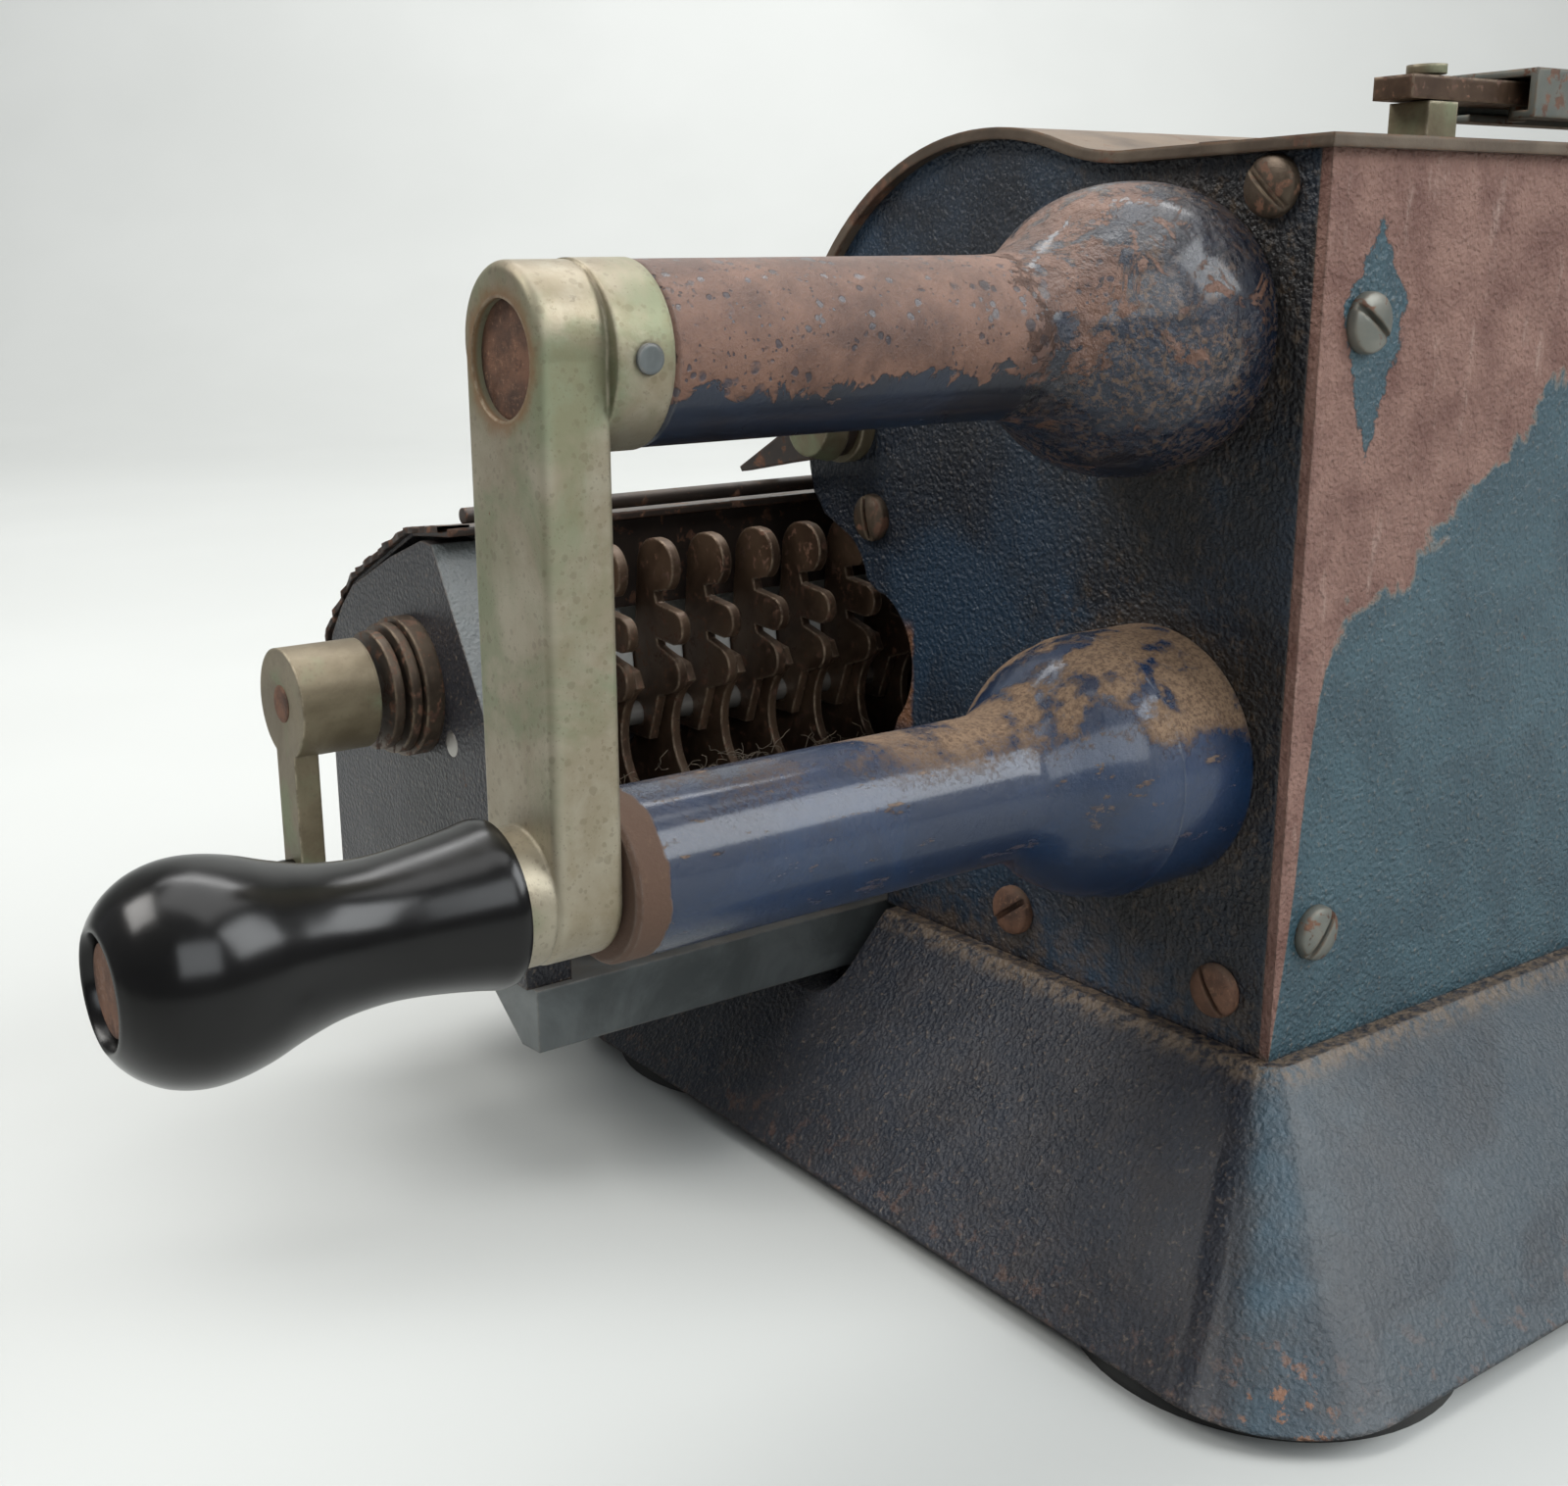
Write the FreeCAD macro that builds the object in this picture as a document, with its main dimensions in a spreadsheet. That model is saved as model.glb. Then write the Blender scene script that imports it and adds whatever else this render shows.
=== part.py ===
import FreeCAD, Part
import math
import os
import Sketcher

# A hand-cranked pinwheel calculating machine. X runs to the crank side, Y to the back and Z up. Every piece is
# drawn in the body frame: X = 0 is the outer face of the right side plate, Y = 0 the face of the back panel and
# Z = 0 the top of the base's ledge. Each Placement then moves it by the origin cells, so that the finished
# machine stands on Z = 0 with the middle of its box over the origin.

DIMENSIONS = {
    "origin_x": 37.1, "origin_y": 61.35, "origin_z": 35.6,
    "body_width": 190.0, "plate_thick": 3.0, "sheet_thick": 1.6, "overhang": 2.0,
    "ledge": 2.5, "flare": 32.6, "base_drop": 32.6, "base_wall": 4.0, "base_front": -140.0,
    "notch_y": -78.0, "notch_z": -13.5, "foot_r": 26.0, "foot_drop": 3.0, "foot_rear_y": 5.6,
    "foot_front_y": -111.4, "foot_inset": 5.5,
    "crank_y": -24.0, "crank_z": 97.6, "lock_z": 39.1, "tube_r": 10.0, "tube_end": 86.2, "lock_end": 92.5,
    "shaft_r": 6.25, "running": 0.06, "hub_start": 86.45, "hub_r": 10.2, "arm_start": 92.9, "arm_end": 101.5,
    "arm_half": 8.15, "boss_end": 105.0, "boss_r": 9.0, "grip_start": 105.3, "grip_end": 148.4,
    "spindle_r": 3.2, "plunger_r": 3.6, "plunger_out": 3.0,
    "drum_y": -58.9, "drum_z": 78.0, "housing_r": 46.0, "drum_shaft_r": 4.0, "wheel_r": 36.0,
    "lever_tip_r": 44.4, "pitch": 10.0, "first_wheel": -42.0, "wheel_count": 9.0,
    "gear_teeth": 40.0, "gear_root_r": 18.7, "gear_tip_r": 20.9, "gear_start": -24.0, "gear_width": 6.0,
    "carriage_right": 69.0, "carriage_left": -136.0, "cheek": 3.0,
    "result_y": -119.0, "result_z": 41.5, "dial_r": 12.6, "first_dial": 58.0, "dial_count": 12.0,
    "counter_first": -72.0, "counter_count": 6.0, "tens_y": -106.0, "tens_z": 34.0, "tens_r": 2.0,
    "link_y": -11.0, "link_right": -33.0, "link_left": -157.0, "link_arm": 22.0,
    "pointer_y": -91.7, "pointer_z": 81.5,
}

SCREW_HEAD_R = 3.8
SCREW_SHANK_R = 1.9

doc = FreeCAD.newDocument("calculating_machine")
sheet = doc.addObject("Spreadsheet::Sheet", "dims")
for row, (alias, number) in enumerate(DIMENSIONS.items(), start=1):
    sheet.set(f"A{row}", alias)
    sheet.set(f"B{row}", str(number))
    sheet.setAlias(f"B{row}", alias)
doc.recompute()

sub_parts = []
places = {}


def size(alias):
    """A driving dimension's number, as the sheet holds it."""
    return float(sheet.get(alias))


def text(value):
    """A number or an expression as the text that setExpression takes."""
    return value if isinstance(value, str) else repr(float(value))


def bind(thing, **cells):
    """Ties each named property of an object to an expression over the sheet."""
    for name, value in cells.items():
        thing.setExpression(name, text(value))


def number(value):
    """Works out an expression over the sheet in plain Python."""
    if not isinstance(value, str):
        return float(value)
    return float(sheet.evalExpression(value.replace("dims.", "")))


def move(thing, x, y, z, rotation=None):
    """Puts an object at a place given by three expressions."""
    places[thing.Name] = (text(x), text(y), text(z))
    if rotation is not None:
        thing.Placement = FreeCAD.Placement(FreeCAD.Vector(0, 0, 0), rotation)
    thing.setExpression("Placement.Base.x", text(x))
    thing.setExpression("Placement.Base.y", text(y))
    thing.setExpression("Placement.Base.z", text(z))
    return thing


def finish(label, thing, x=0, y=0, z=0):
    """Names a finished sub-part and moves it from the body frame to the machine's own frame."""
    thing.Label = label
    own_x, own_y, own_z = places.get(thing.Name, ("0", "0", "0"))
    move(thing, f"dims.origin_x + {own_x} + {text(x)}", f"dims.origin_y + {own_y} + {text(y)}",
         f"dims.origin_z + {own_z} + {text(z)}")
    sub_parts.append((label, thing))
    return thing


ALONG_X = FreeCAD.Rotation(FreeCAD.Vector(0, 0, 1), FreeCAD.Vector(1, 0, 0))
ALONG_MINUS_X = FreeCAD.Rotation(FreeCAD.Vector(0, 0, 1), FreeCAD.Vector(-1, 0, 0))
ALONG_Y = FreeCAD.Rotation(FreeCAD.Vector(0, 0, 1), FreeCAD.Vector(0, 1, 0))
UPRIGHT = FreeCAD.Rotation()


def box(x, y, z, length, width, height):
    """A block whose lowest corner stands at (x, y, z)."""
    block = doc.addObject("Part::Box", "block")
    bind(block, Length=length, Width=width, Height=height)
    return move(block, x, y, z)


def rod(x, y, z, radius, length, rotation=ALONG_X):
    """A round rod that starts at (x, y, z)."""
    bar = doc.addObject("Part::Cylinder", "rod")
    bind(bar, Radius=radius, Height=length)
    return move(bar, x, y, z, rotation)


def cone(x, y, z, first_r, last_r, length, rotation=ALONG_X):
    """A tapered rod that starts at (x, y, z) with first_r."""
    taper = doc.addObject("Part::Cone", "taper")
    bind(taper, Radius1=first_r, Radius2=last_r, Height=length)
    return move(taper, x, y, z, rotation)


def fuse(*things):
    """Several solids joined into one, or kept as a group where they stand apart."""
    whole = doc.addObject("Part::MultiFuse", "join")
    whole.Shapes = list(things)
    return whole


def cut(base, *tools):
    """A solid with others taken out of it."""
    rest = doc.addObject("Part::Cut", "trim")
    rest.Base = base
    rest.Tool = fuse(*tools) if len(tools) > 1 else tools[0]
    return rest


def group(*things):
    """Separate solids that share one node."""
    bundle = doc.addObject("Part::Compound", "bundle")
    bundle.Links = list(things)
    return bundle


def new_body(name):
    """An empty PartDesign body."""
    return doc.addObject("PartDesign::Body", name)


def origin_plane(body, role):
    """One of a body's own origin planes."""
    return next(feature for feature in body.Origin.OriginFeatures if feature.Role == role)


def new_sketch(body, role, offset=0):
    """A sketch on one of the body's origin planes, lifted along the plane's normal."""
    sketch = body.newObject("Sketcher::SketchObject", "outline")
    sketch.AttachmentSupport = (origin_plane(body, role), [""])
    sketch.MapMode = "FlatFace"
    sketch.setExpression("AttachmentOffset.Base.z", text(offset))
    return sketch


def draw(sketch, start, *steps):
    """Draws a closed outline. A step is an end point, or an arc's middle point and its end point. Every corner
    is held by its distances from the sketch's origin, and a distance given as an expression is bound."""
    corners = [start] + [step[-2:] for step in steps]
    points = [FreeCAD.Vector(number(u), number(v), 0) for u, v in corners]
    closing = (points[0] - points[-1]).Length > 1e-6
    spans = list(steps) + ([start] if closing else [])
    if closing:
        points.append(points[0])
    ends = []
    for index, step in enumerate(spans):
        first, last = points[index], points[index + 1]
        if len(step) == 2:
            edge = sketch.addGeometry(Part.LineSegment(first, last), False)
        else:
            middle = FreeCAD.Vector(number(step[0]), number(step[1]), 0)
            edge = sketch.addGeometry(Part.Arc(first, middle, last), False)
            centre = sketch.Geometry[edge].Center
            chord = last - first
            kind, value = ("DistanceX", centre.x) if abs(chord.y) > abs(chord.x) else ("DistanceY", centre.y)
            sketch.addConstraint(Sketcher.Constraint(kind, -1, 1, edge, 3, value))
        straight = (sketch.getPoint(edge, 1) - first).Length < 1e-6
        ends.append((edge, 1 if straight else 2, 2 if straight else 1))
    for index, (edge, head, tail) in enumerate(ends):
        following = ends[(index + 1) % len(ends)]
        sketch.addConstraint(Sketcher.Constraint("Coincident", edge, tail, following[0], following[1]))
        for kind, value in zip(("DistanceX", "DistanceY"), corners[index]):
            placed = sketch.addConstraint(Sketcher.Constraint(kind, -1, 1, edge, head, number(value)))
            if isinstance(value, str):
                sketch.setExpression(f"Constraints[{placed}]", value)
    return sketch


def ring(sketch, u, v, radius):
    """Draws a circle with its radius and centre held."""
    edge = sketch.addGeometry(
        Part.Circle(FreeCAD.Vector(number(u), number(v), 0), FreeCAD.Vector(0, 0, 1), number(radius)), False)
    held = [("Radius", (edge,), radius), ("DistanceX", (-1, 1, edge, 3), u), ("DistanceY", (-1, 1, edge, 3), v)]
    for kind, elements, value in held:
        placed = sketch.addConstraint(Sketcher.Constraint(kind, *elements, number(value)))
        if isinstance(value, str):
            sketch.setExpression(f"Constraints[{placed}]", value)
    return sketch


def pad(body, sketch, length, reverse=False):
    """Thickens a sketch along its plane's normal."""
    feature = body.newObject("PartDesign::Pad", "pad")
    feature.Profile = sketch
    feature.Reversed = reverse
    bind(feature, Length=length)
    return feature


def pocket(body, sketch, length, reverse=False):
    """Cuts a sketch into the body, and checks that metal was taken away."""
    doc.recompute()
    before = body.Shape.Volume
    feature = body.newObject("PartDesign::Pocket", "pocket")
    feature.Profile = sketch
    feature.Reversed = reverse
    bind(feature, Length=length)
    doc.recompute()
    if not body.Shape.Volume < before - 1e-3:
        raise RuntimeError(f"a pocket of {body.Name} cuts nothing")
    return feature


def repeat_round(body, features, count, angle, axis):
    """Repeats features about one of the body's own axes."""
    pattern = body.newObject("PartDesign::PolarPattern", "round")
    pattern.Originals = features
    pattern.Axis = (origin_plane(body, axis), [""])
    pattern.Angle = angle
    pattern.Occurrences = int(count)
    body.Tip = pattern
    return pattern


def turned(name, *profile):
    """A body of revolution about its own X axis, from its half profile in (x, radius)."""
    body = new_body(name)
    sketch = draw(new_sketch(body, "XZ_Plane"), *profile)
    revolution = body.newObject("PartDesign::Revolution", "turning")
    revolution.Profile = sketch
    revolution.ReferenceAxis = (sketch, ["H_Axis"])
    revolution.Angle = 360
    return body


def slab(name, x, length, *outline):
    """A plate of constant section across the machine: its outline in (y, z), thickened along X."""
    body = new_body(name)
    pad(body, draw(new_sketch(body, "YZ_Plane", x), *outline), length)
    return body


def shape_part(label, shape):
    """A sub-part whose shape is worked out in code from the sheet's sizes."""
    feature = doc.addObject("Part::Feature", label)
    feature.Shape = shape
    return finish(label, feature)


def copies(source, count, step, start=0.0, y=0.0, z=0.0):
    """Copies of a finished shape, spread along X from a first place."""
    doc.recompute()
    shape = source.Shape
    return Part.makeCompound([shape.translated(FreeCAD.Vector(start + step * i, y, z)) for i in range(int(count))])


# ---------------------------------------------------------------------------------------------- base and feet

def rounded_rectangle(sketch, x0, y0, x1, y1, radius):
    """A rectangle with round corners, drawn anticlockwise from its lower left side."""
    bow = radius * (1 - math.sqrt(0.5))
    draw(
        sketch, (x0 + radius, y0), (x1 - radius, y0), (x1 - bow, y0 + bow, x1, y0 + radius),
        (x1, y1 - radius), (x1 - bow, y1 - bow, x1 - radius, y1), (x0 + radius, y1),
        (x0 + bow, y1 - bow, x0, y1 - radius), (x0, y0 + radius), (x0 + bow, y0 + bow, x0 + radius, y0))


def flared_skirt(feature_type, body, inset, low, high):
    """Lofts the skirt's slope between two rounded rectangles, inset from the outer skin."""
    slope = (size("flare") - size("ledge")) / size("base_drop")
    sections = []
    for level, corner in ((low, 20.0), (high, 5.0)):
        reach = size("ledge") - level * slope - inset
        sketch = new_sketch(body, "XY_Plane", level)
        rounded_rectangle(
            sketch, -size("body_width") - reach, size("base_front") + size("flare") - reach - 2.5,
            reach, reach, max(corner - inset, 2.0))
        sections.append(sketch)
    loft = body.newObject(feature_type, "slope")
    loft.Profile = sections[0]
    loft.Sections = [sections[1]]
    loft.Ruled = True
    return loft


def build_base():
    """The flared base: a hollow cast skirt with a deck, cut down at the front where the carriage runs."""
    body = new_body("base")
    flared_skirt("PartDesign::AdditiveLoft", body, 0.0, -size("base_drop"), 0.0)
    wide = "dims.body_width + 2 * dims.flare + 20"
    notch = draw(
        new_sketch(body, "YZ_Plane", "dims.flare + 10"), ("dims.notch_y", 10), ("dims.notch_y", -8.5),
        ("dims.notch_y - 1.6", "dims.notch_z + 1.4", "dims.notch_y - 5.5", "dims.notch_z"),
        ("dims.base_front - 10", "dims.notch_z"), ("dims.base_front - 10", 10))
    pocket(body, notch, wide)
    flared_skirt("PartDesign::SubtractiveLoft", body, size("base_wall"), -size("base_drop"), -17.0)
    under_deck = draw(
        new_sketch(body, "XY_Plane", "-dims.base_wall"), ("2 - dims.body_width", -2), (-2, -2),
        (-2, "dims.notch_y + 4"), ("2 - dims.body_width", "dims.notch_y + 4"))
    pocket(body, under_deck, 13.5)
    deck_opening = draw(
        new_sketch(body, "XY_Plane", 1), ("-dims.body_width + 12", "-12"), ("-12", "-12"),
        ("-12", "dims.notch_y + 8"), ("-dims.body_width + 12", "dims.notch_y + 8"))
    pocket(body, deck_opening, 25)
    finish("base_casting", body)


def build_feet():
    """Four rubber discs under the skirt, each held up by a screw from below."""
    feet = []
    screws = []
    for side in ("dims.foot_inset", "-dims.body_width - dims.foot_inset"):
        for y in ("dims.foot_rear_y", "dims.foot_front_y"):
            pad_disc = rod(side, y, "-dims.base_drop - dims.foot_drop", "dims.foot_r", "dims.foot_drop", UPRIGHT)
            plug = rod(side, y, "-dims.base_drop - 0.01", 8, 15.61, UPRIGHT)
            well = rod(side, y, "-dims.base_drop - dims.foot_drop - 1", 5, 4, UPRIGHT)
            stem = rod(side, y, "-dims.base_drop - dims.foot_drop", 2, 25, UPRIGHT)
            feet.append(cut(fuse(pad_disc, plug), well, stem))
            head = rod(side, y, "-dims.base_drop - dims.foot_drop + 1.2", 4, 1.8, UPRIGHT)
            shank = rod(side, y, "-dims.base_drop - dims.foot_drop + 1.2", 2, 16, UPRIGHT)
            screws.append(fuse(head, shank))
    finish("rubber_feet", group(*feet))
    finish("foot_screws", group(*screws))


# ------------------------------------------------------------------------------------ plates, cover and panel

TOP_LINE = [
    (-30.0, 119.4), (-37.0, 119.75, -43.5, 121.3), (-51.0, 123.3, "dims.drum_y", "dims.drum_z + dims.housing_r")]
HOUSING_END = math.radians(12)


def on_housing(radius, angle):
    """A point of a circle about the drum's axis: angle 0 is straight forward, 90 degrees straight up."""
    return (size("drum_y") - radius * math.cos(angle), size("drum_z") + radius * math.sin(angle))


def build_side_plates():
    """The two plates that carry everything, with a hollow front edge that the carriage nests in."""
    end_y, end_z = on_housing(size("housing_r"), HOUSING_END)
    mid_y, mid_z = on_housing(size("housing_r"), math.radians(50))
    outline = [
        (-1.6, 0), (-1.6, 119.6), *TOP_LINE, (mid_y, mid_z, end_y, end_z), (-102.5, 73.3), (-101.4, 69.2),
        (-98.4, 65.6), (-91.4, 62.4), (-88.6, 59.6, -87.0, 56.0), (-85.0, 54.4, -82.1, 53.6),
        (-75.2, 44.0, -78.4, 33.4), (-80.6, 28.0), (-80.6, 0)]
    for label, x in (("right_side_plate", "-dims.plate_thick"), ("left_side_plate", "-dims.body_width")):
        body = slab(label, x, "dims.plate_thick", *outline)
        holes = new_sketch(body, "YZ_Plane", x)
        if label == "right_side_plate":
            ring(holes, "dims.crank_y", "dims.crank_z", "dims.shaft_r + 1.5")
        for y, z in SIDE_SCREWS:
            ring(holes, y, z, SCREW_SHANK_R)
        pocket(body, holes, "dims.plate_thick", reverse=True)
        finish(label, body)


SIDE_SCREWS = ((-8.4, 115.4), (-9.4, 7.6), (-49.6, 7.8), (-85.3, 66.2))
ROD_SCREWS = SIDE_SCREWS[:3]
PANEL_SCREWS = ((-8.8, 98.7), (-7.7, 17.4))


def build_side_screws():
    """Slotted screws through both plates; the three outer pairs hold the tie rods."""
    screws = []
    for side, x, facing in ((1, "0", ALONG_X), (-1, "-dims.body_width", ALONG_MINUS_X)):
        for index, (y, z) in enumerate(SIDE_SCREWS):
            head = cone(x, y, z, SCREW_HEAD_R, SCREW_HEAD_R - 0.8, 2.2, facing)
            shank = rod(x, y, z, SCREW_SHANK_R, "dims.plate_thick", ALONG_MINUS_X if side > 0 else ALONG_X)
            slot = box(f"{x} + {1.8 * side} - 0.6", y - 6.0, z - 0.6, 1.2, 12.0, 1.2)
            screws.append(cut(fuse(head, shank), slot))
    finish("side_plate_screws", group(*screws))
    rods = [rod("-dims.body_width + dims.plate_thick", y, z, 2.0, "dims.body_width - 2 * dims.plate_thick")
            for y, z in ROD_SCREWS]
    finish("tie_rods", group(*rods))


def build_back_panel():
    """The sheet-steel back, screwed to four lugs inside its corners."""
    body = new_body("back")
    sheet_outline = draw(
        new_sketch(body, "XZ_Plane"), ("-dims.body_width", 0), (0, 0), (0, 119.6), ("-dims.body_width", 119.6))
    pad(body, sheet_outline, "dims.sheet_thick")
    holes = new_sketch(body, "XZ_Plane")
    places = [(x, z) for x, z in PANEL_SCREWS] + [(-size("body_width") - x, z) for x, z in PANEL_SCREWS]
    for x, z in places:
        ring(holes, x, z, SCREW_SHANK_R)
    pocket(body, holes, "dims.sheet_thick", reverse=True)
    finish("back_panel", body)
    back = FreeCAD.Rotation(FreeCAD.Vector(0, 0, 1), FreeCAD.Vector(0, -1, 0))
    screws = []
    lugs = []
    for x, z in places:
        head = cone(x, 0, z, SCREW_HEAD_R, SCREW_HEAD_R - 0.8, 2.2, ALONG_Y)
        shank = rod(x, 0, z, SCREW_SHANK_R, 8, back)
        slot = box(x - 0.6, 1.0, z - 6.0, 1.2, 2.0, 12.0)
        screws.append(cut(fuse(head, shank), slot))
        inner = "-dims.plate_thick - 12" if x > -50 else "-dims.body_width + dims.plate_thick"
        lugs.append(cut(box(inner, "-dims.sheet_thick - 9", z - 5, 12, 9, 10), rod(x, 0, z, SCREW_SHANK_R, 8, back)))
    finish("back_panel_screws", group(*screws))
    finish("panel_lugs", group(*lugs))


def build_top_cover():
    """One bent sheet from the back edge over the crest to the front of the drum housing, with a wide window."""
    thick = size("sheet_thick")
    lift = size("housing_r") + thick
    end = HOUSING_END
    crest = ("dims.drum_y", f"dims.drum_z + dims.housing_r + {thick}")
    inner_mid, inner_end = on_housing(size("housing_r"), math.radians(50)), on_housing(size("housing_r"), end)
    outer_mid, outer_end = on_housing(lift, math.radians(50)), on_housing(lift, end)
    body = slab(
        "cover", "-dims.body_width - dims.overhang", "dims.body_width + 2 * dims.overhang",
        (1.5, 119.6), (1.5, 119.6 + thick), (-30.0, 119.4 + thick), (-37.0, 119.75 + thick, -43.2, 121.3 + thick),
        (-50.6, 123.3 + thick, *crest), (*outer_mid, *outer_end), inner_end,
        (*inner_mid, "dims.drum_y", "dims.drum_z + dims.housing_r"), (-51.0, 123.3, -43.5, 121.3),
        (-37.0, 119.75, -30.0, 119.4), (-1.6, 119.6))
    window = draw(new_sketch(body, "YZ_Plane", -145.5), *sector(size("housing_r") - 2, lift + 2, 16, 92))
    pocket(body, window, 114, reverse=True)
    finish("top_cover", body)


def sector(first_r, last_r, low, high):
    """The outline of part of a ring about the drum's axis, between two angles in degrees."""
    start, middle, stop = (math.radians(angle) for angle in (low, (low + high) / 2, high))
    return [on_housing(last_r, start), (*on_housing(last_r, middle), *on_housing(last_r, stop)),
            on_housing(first_r, stop), (*on_housing(first_r, middle), *on_housing(first_r, start))]


def build_setting_plate():
    """The slotted plate over the drum. Its strips end in risers joined by two cross bars, which stand clear
    outside the levers' tips, so that the levers pass right round with the drum."""
    inner, outer, bar = 39.6, 40.8, size("housing_r") - 0.1
    body = slab("setting", -148, 119, *sector(inner, outer, 4, 94))
    for low, high in ((1, 6), (92, 96)):
        pad(body, draw(new_sketch(body, "YZ_Plane", -148), *sector(inner, bar, low, high)), 119)
    for x in (-148.0, -31.0):
        pad(body, draw(new_sketch(body, "YZ_Plane", x), *sector(inner, bar, 1, 96)), 2)
    for index in range(int(size("wheel_count"))):
        x = f"dims.first_wheel - {index} * dims.pitch + 1.8"
        slot = draw(new_sketch(body, "YZ_Plane", x), *sector(30, size("lever_tip_r") + 0.25, -2, 106))
        pocket(body, slot, 2.8, reverse=True)
    finish("setting_plate", body)


# ---------------------------------------------------------------------------------------- crank and its tubes

def build_tubes():
    """The long bearing tube round the crank shaft, and the tube below it that holds the crank's rest plunger."""
    bore = "dims.shaft_r + dims.running"
    bearing = turned(
        "bearing", (0, bore), (0, 17.6), (9.5, 19.0, 21.0, 15.6), (25.6, 12.2, 33.5, "dims.tube_r"),
        ("dims.tube_end", "dims.tube_r"), ("dims.tube_end", bore))
    finish("crank_bearing_tube", bearing, 0, "dims.crank_y", "dims.crank_z")
    lock = turned(
        "lock", (0, 0), (0, 18.4), (13.6, 18.4), (19.6, 16.9, 23.6, 14.2), (27.0, 11.4, 33.5, "dims.tube_r"),
        ("dims.lock_end", "dims.tube_r"), ("dims.lock_end", "dims.plunger_r + dims.running"),
        (62, "dims.plunger_r + dims.running"), (62, 0))
    finish("lock_tube", lock, 0, "dims.crank_y", "dims.lock_z")


def build_crank():
    """The crank: shaft, hub, hanging arm with an outward boss, cross pin, handle spindle and gear."""
    shaft = rod(-27, "dims.crank_y", "dims.crank_z", "dims.shaft_r", 127.3)
    pin_hole = rod(89.7, "dims.crank_y - 15", "dims.crank_z", 1.6, 30, ALONG_Y)
    finish("crank_shaft", cut(shaft, pin_hole))
    half = "dims.arm_half"
    body = new_body("arm")
    outline = draw(
        new_sketch(body, "YZ_Plane", "dims.arm_start"),
        ("-dims.arm_half", "dims.lock_z - dims.crank_z"),
        (0, "dims.lock_z - dims.crank_z - dims.arm_half", "dims.arm_half", "dims.lock_z - dims.crank_z"),
        ("dims.arm_half", 0), (0, "dims.arm_half + 1.9", "-dims.arm_half", 0))
    pad(body, outline, "dims.arm_end - dims.arm_start")
    doc.recompute()
    soften(body, outer_edges(body, size("arm_end"), size("arm_start")), 1.1)
    hub = ring(new_sketch(body, "YZ_Plane", "dims.hub_start"), 0, 0, "dims.hub_r")
    pad(body, hub, "dims.arm_start - dims.hub_start + 0.5")
    boss = ring(new_sketch(body, "YZ_Plane", "dims.arm_end"), 0, "dims.lock_z - dims.crank_z", "dims.boss_r - 1")
    pad(body, boss, "dims.boss_end - dims.arm_end")
    bore = ring(new_sketch(body, "YZ_Plane", 80), 0, 0, "dims.shaft_r")
    pocket(body, bore, 40, reverse=True)
    spindle_hole = ring(new_sketch(body, "YZ_Plane", 96.4), 0, "dims.lock_z - dims.crank_z", "dims.spindle_r")
    pocket(body, spindle_hole, 20, reverse=True)
    socket = ring(
        new_sketch(body, "YZ_Plane", "dims.arm_start"), 0, "dims.lock_z - dims.crank_z", "dims.plunger_r + 0.4")
    pocket(body, socket, 3.2, reverse=True)
    cross = ring(new_sketch(body, "XZ_Plane", -20), 89.7, 0, 1.6)
    pocket(body, cross, 40, reverse=True)
    finish("crank_arm", body, 0, "dims.crank_y", "dims.crank_z")
    finish("crank_cross_pin", rod(89.7, "dims.crank_y - 10.6", "dims.crank_z", 1.6, 21.2, ALONG_Y))
    neck = rod(96.4, "dims.crank_y", "dims.lock_z", "dims.spindle_r", "dims.grip_end - 98.4")
    head = cone("dims.grip_end - 2.4", "dims.crank_y", "dims.lock_z", 5.6, 4.8, 1.4)
    finish("handle_spindle", fuse(neck, head))
    grip_bore = "dims.spindle_r + dims.running"
    grip = turned(
        "grip", ("dims.grip_start", grip_bore), ("dims.grip_start", 9.6), (107.3, 9.45, 109.5, 9.0),
        (118.9, 7.8, 127.5, 8.5), (131.4, 9.6, 134.2, 10.8), (138.9, 11.75, 143.4, 10.6),
        (146.6, 8.9, "dims.grip_end", 6.3), ("dims.grip_end - 2.9", 6.0), ("dims.grip_end - 2.9", grip_bore))
    finish("crank_handle", grip, 0, "dims.crank_y", "dims.lock_z")
    plunger = rod(70, "dims.crank_y", "dims.lock_z", "dims.plunger_r", "dims.lock_end - 70.2")
    finish("rest_plunger", plunger)


def outer_edges(body, *levels):
    """The edges of a body that lie flat in the planes X = each level."""
    names = []
    for index, edge in enumerate(body.Shape.Edges, start=1):
        reach = edge.BoundBox
        if any(abs(reach.XMin - level) < 1e-4 and abs(reach.XMax - level) < 1e-4 for level in levels):
            names.append(f"Edge{index}")
    return names


def soften(body, edges, radius):
    """Rounds the named edges of the body's last feature."""
    base = body.Tip
    feature = body.newObject("PartDesign::Fillet", "softened")
    feature.Base = (base, edges)
    feature.Radius = radius
    body.Tip = feature
    return feature


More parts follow.
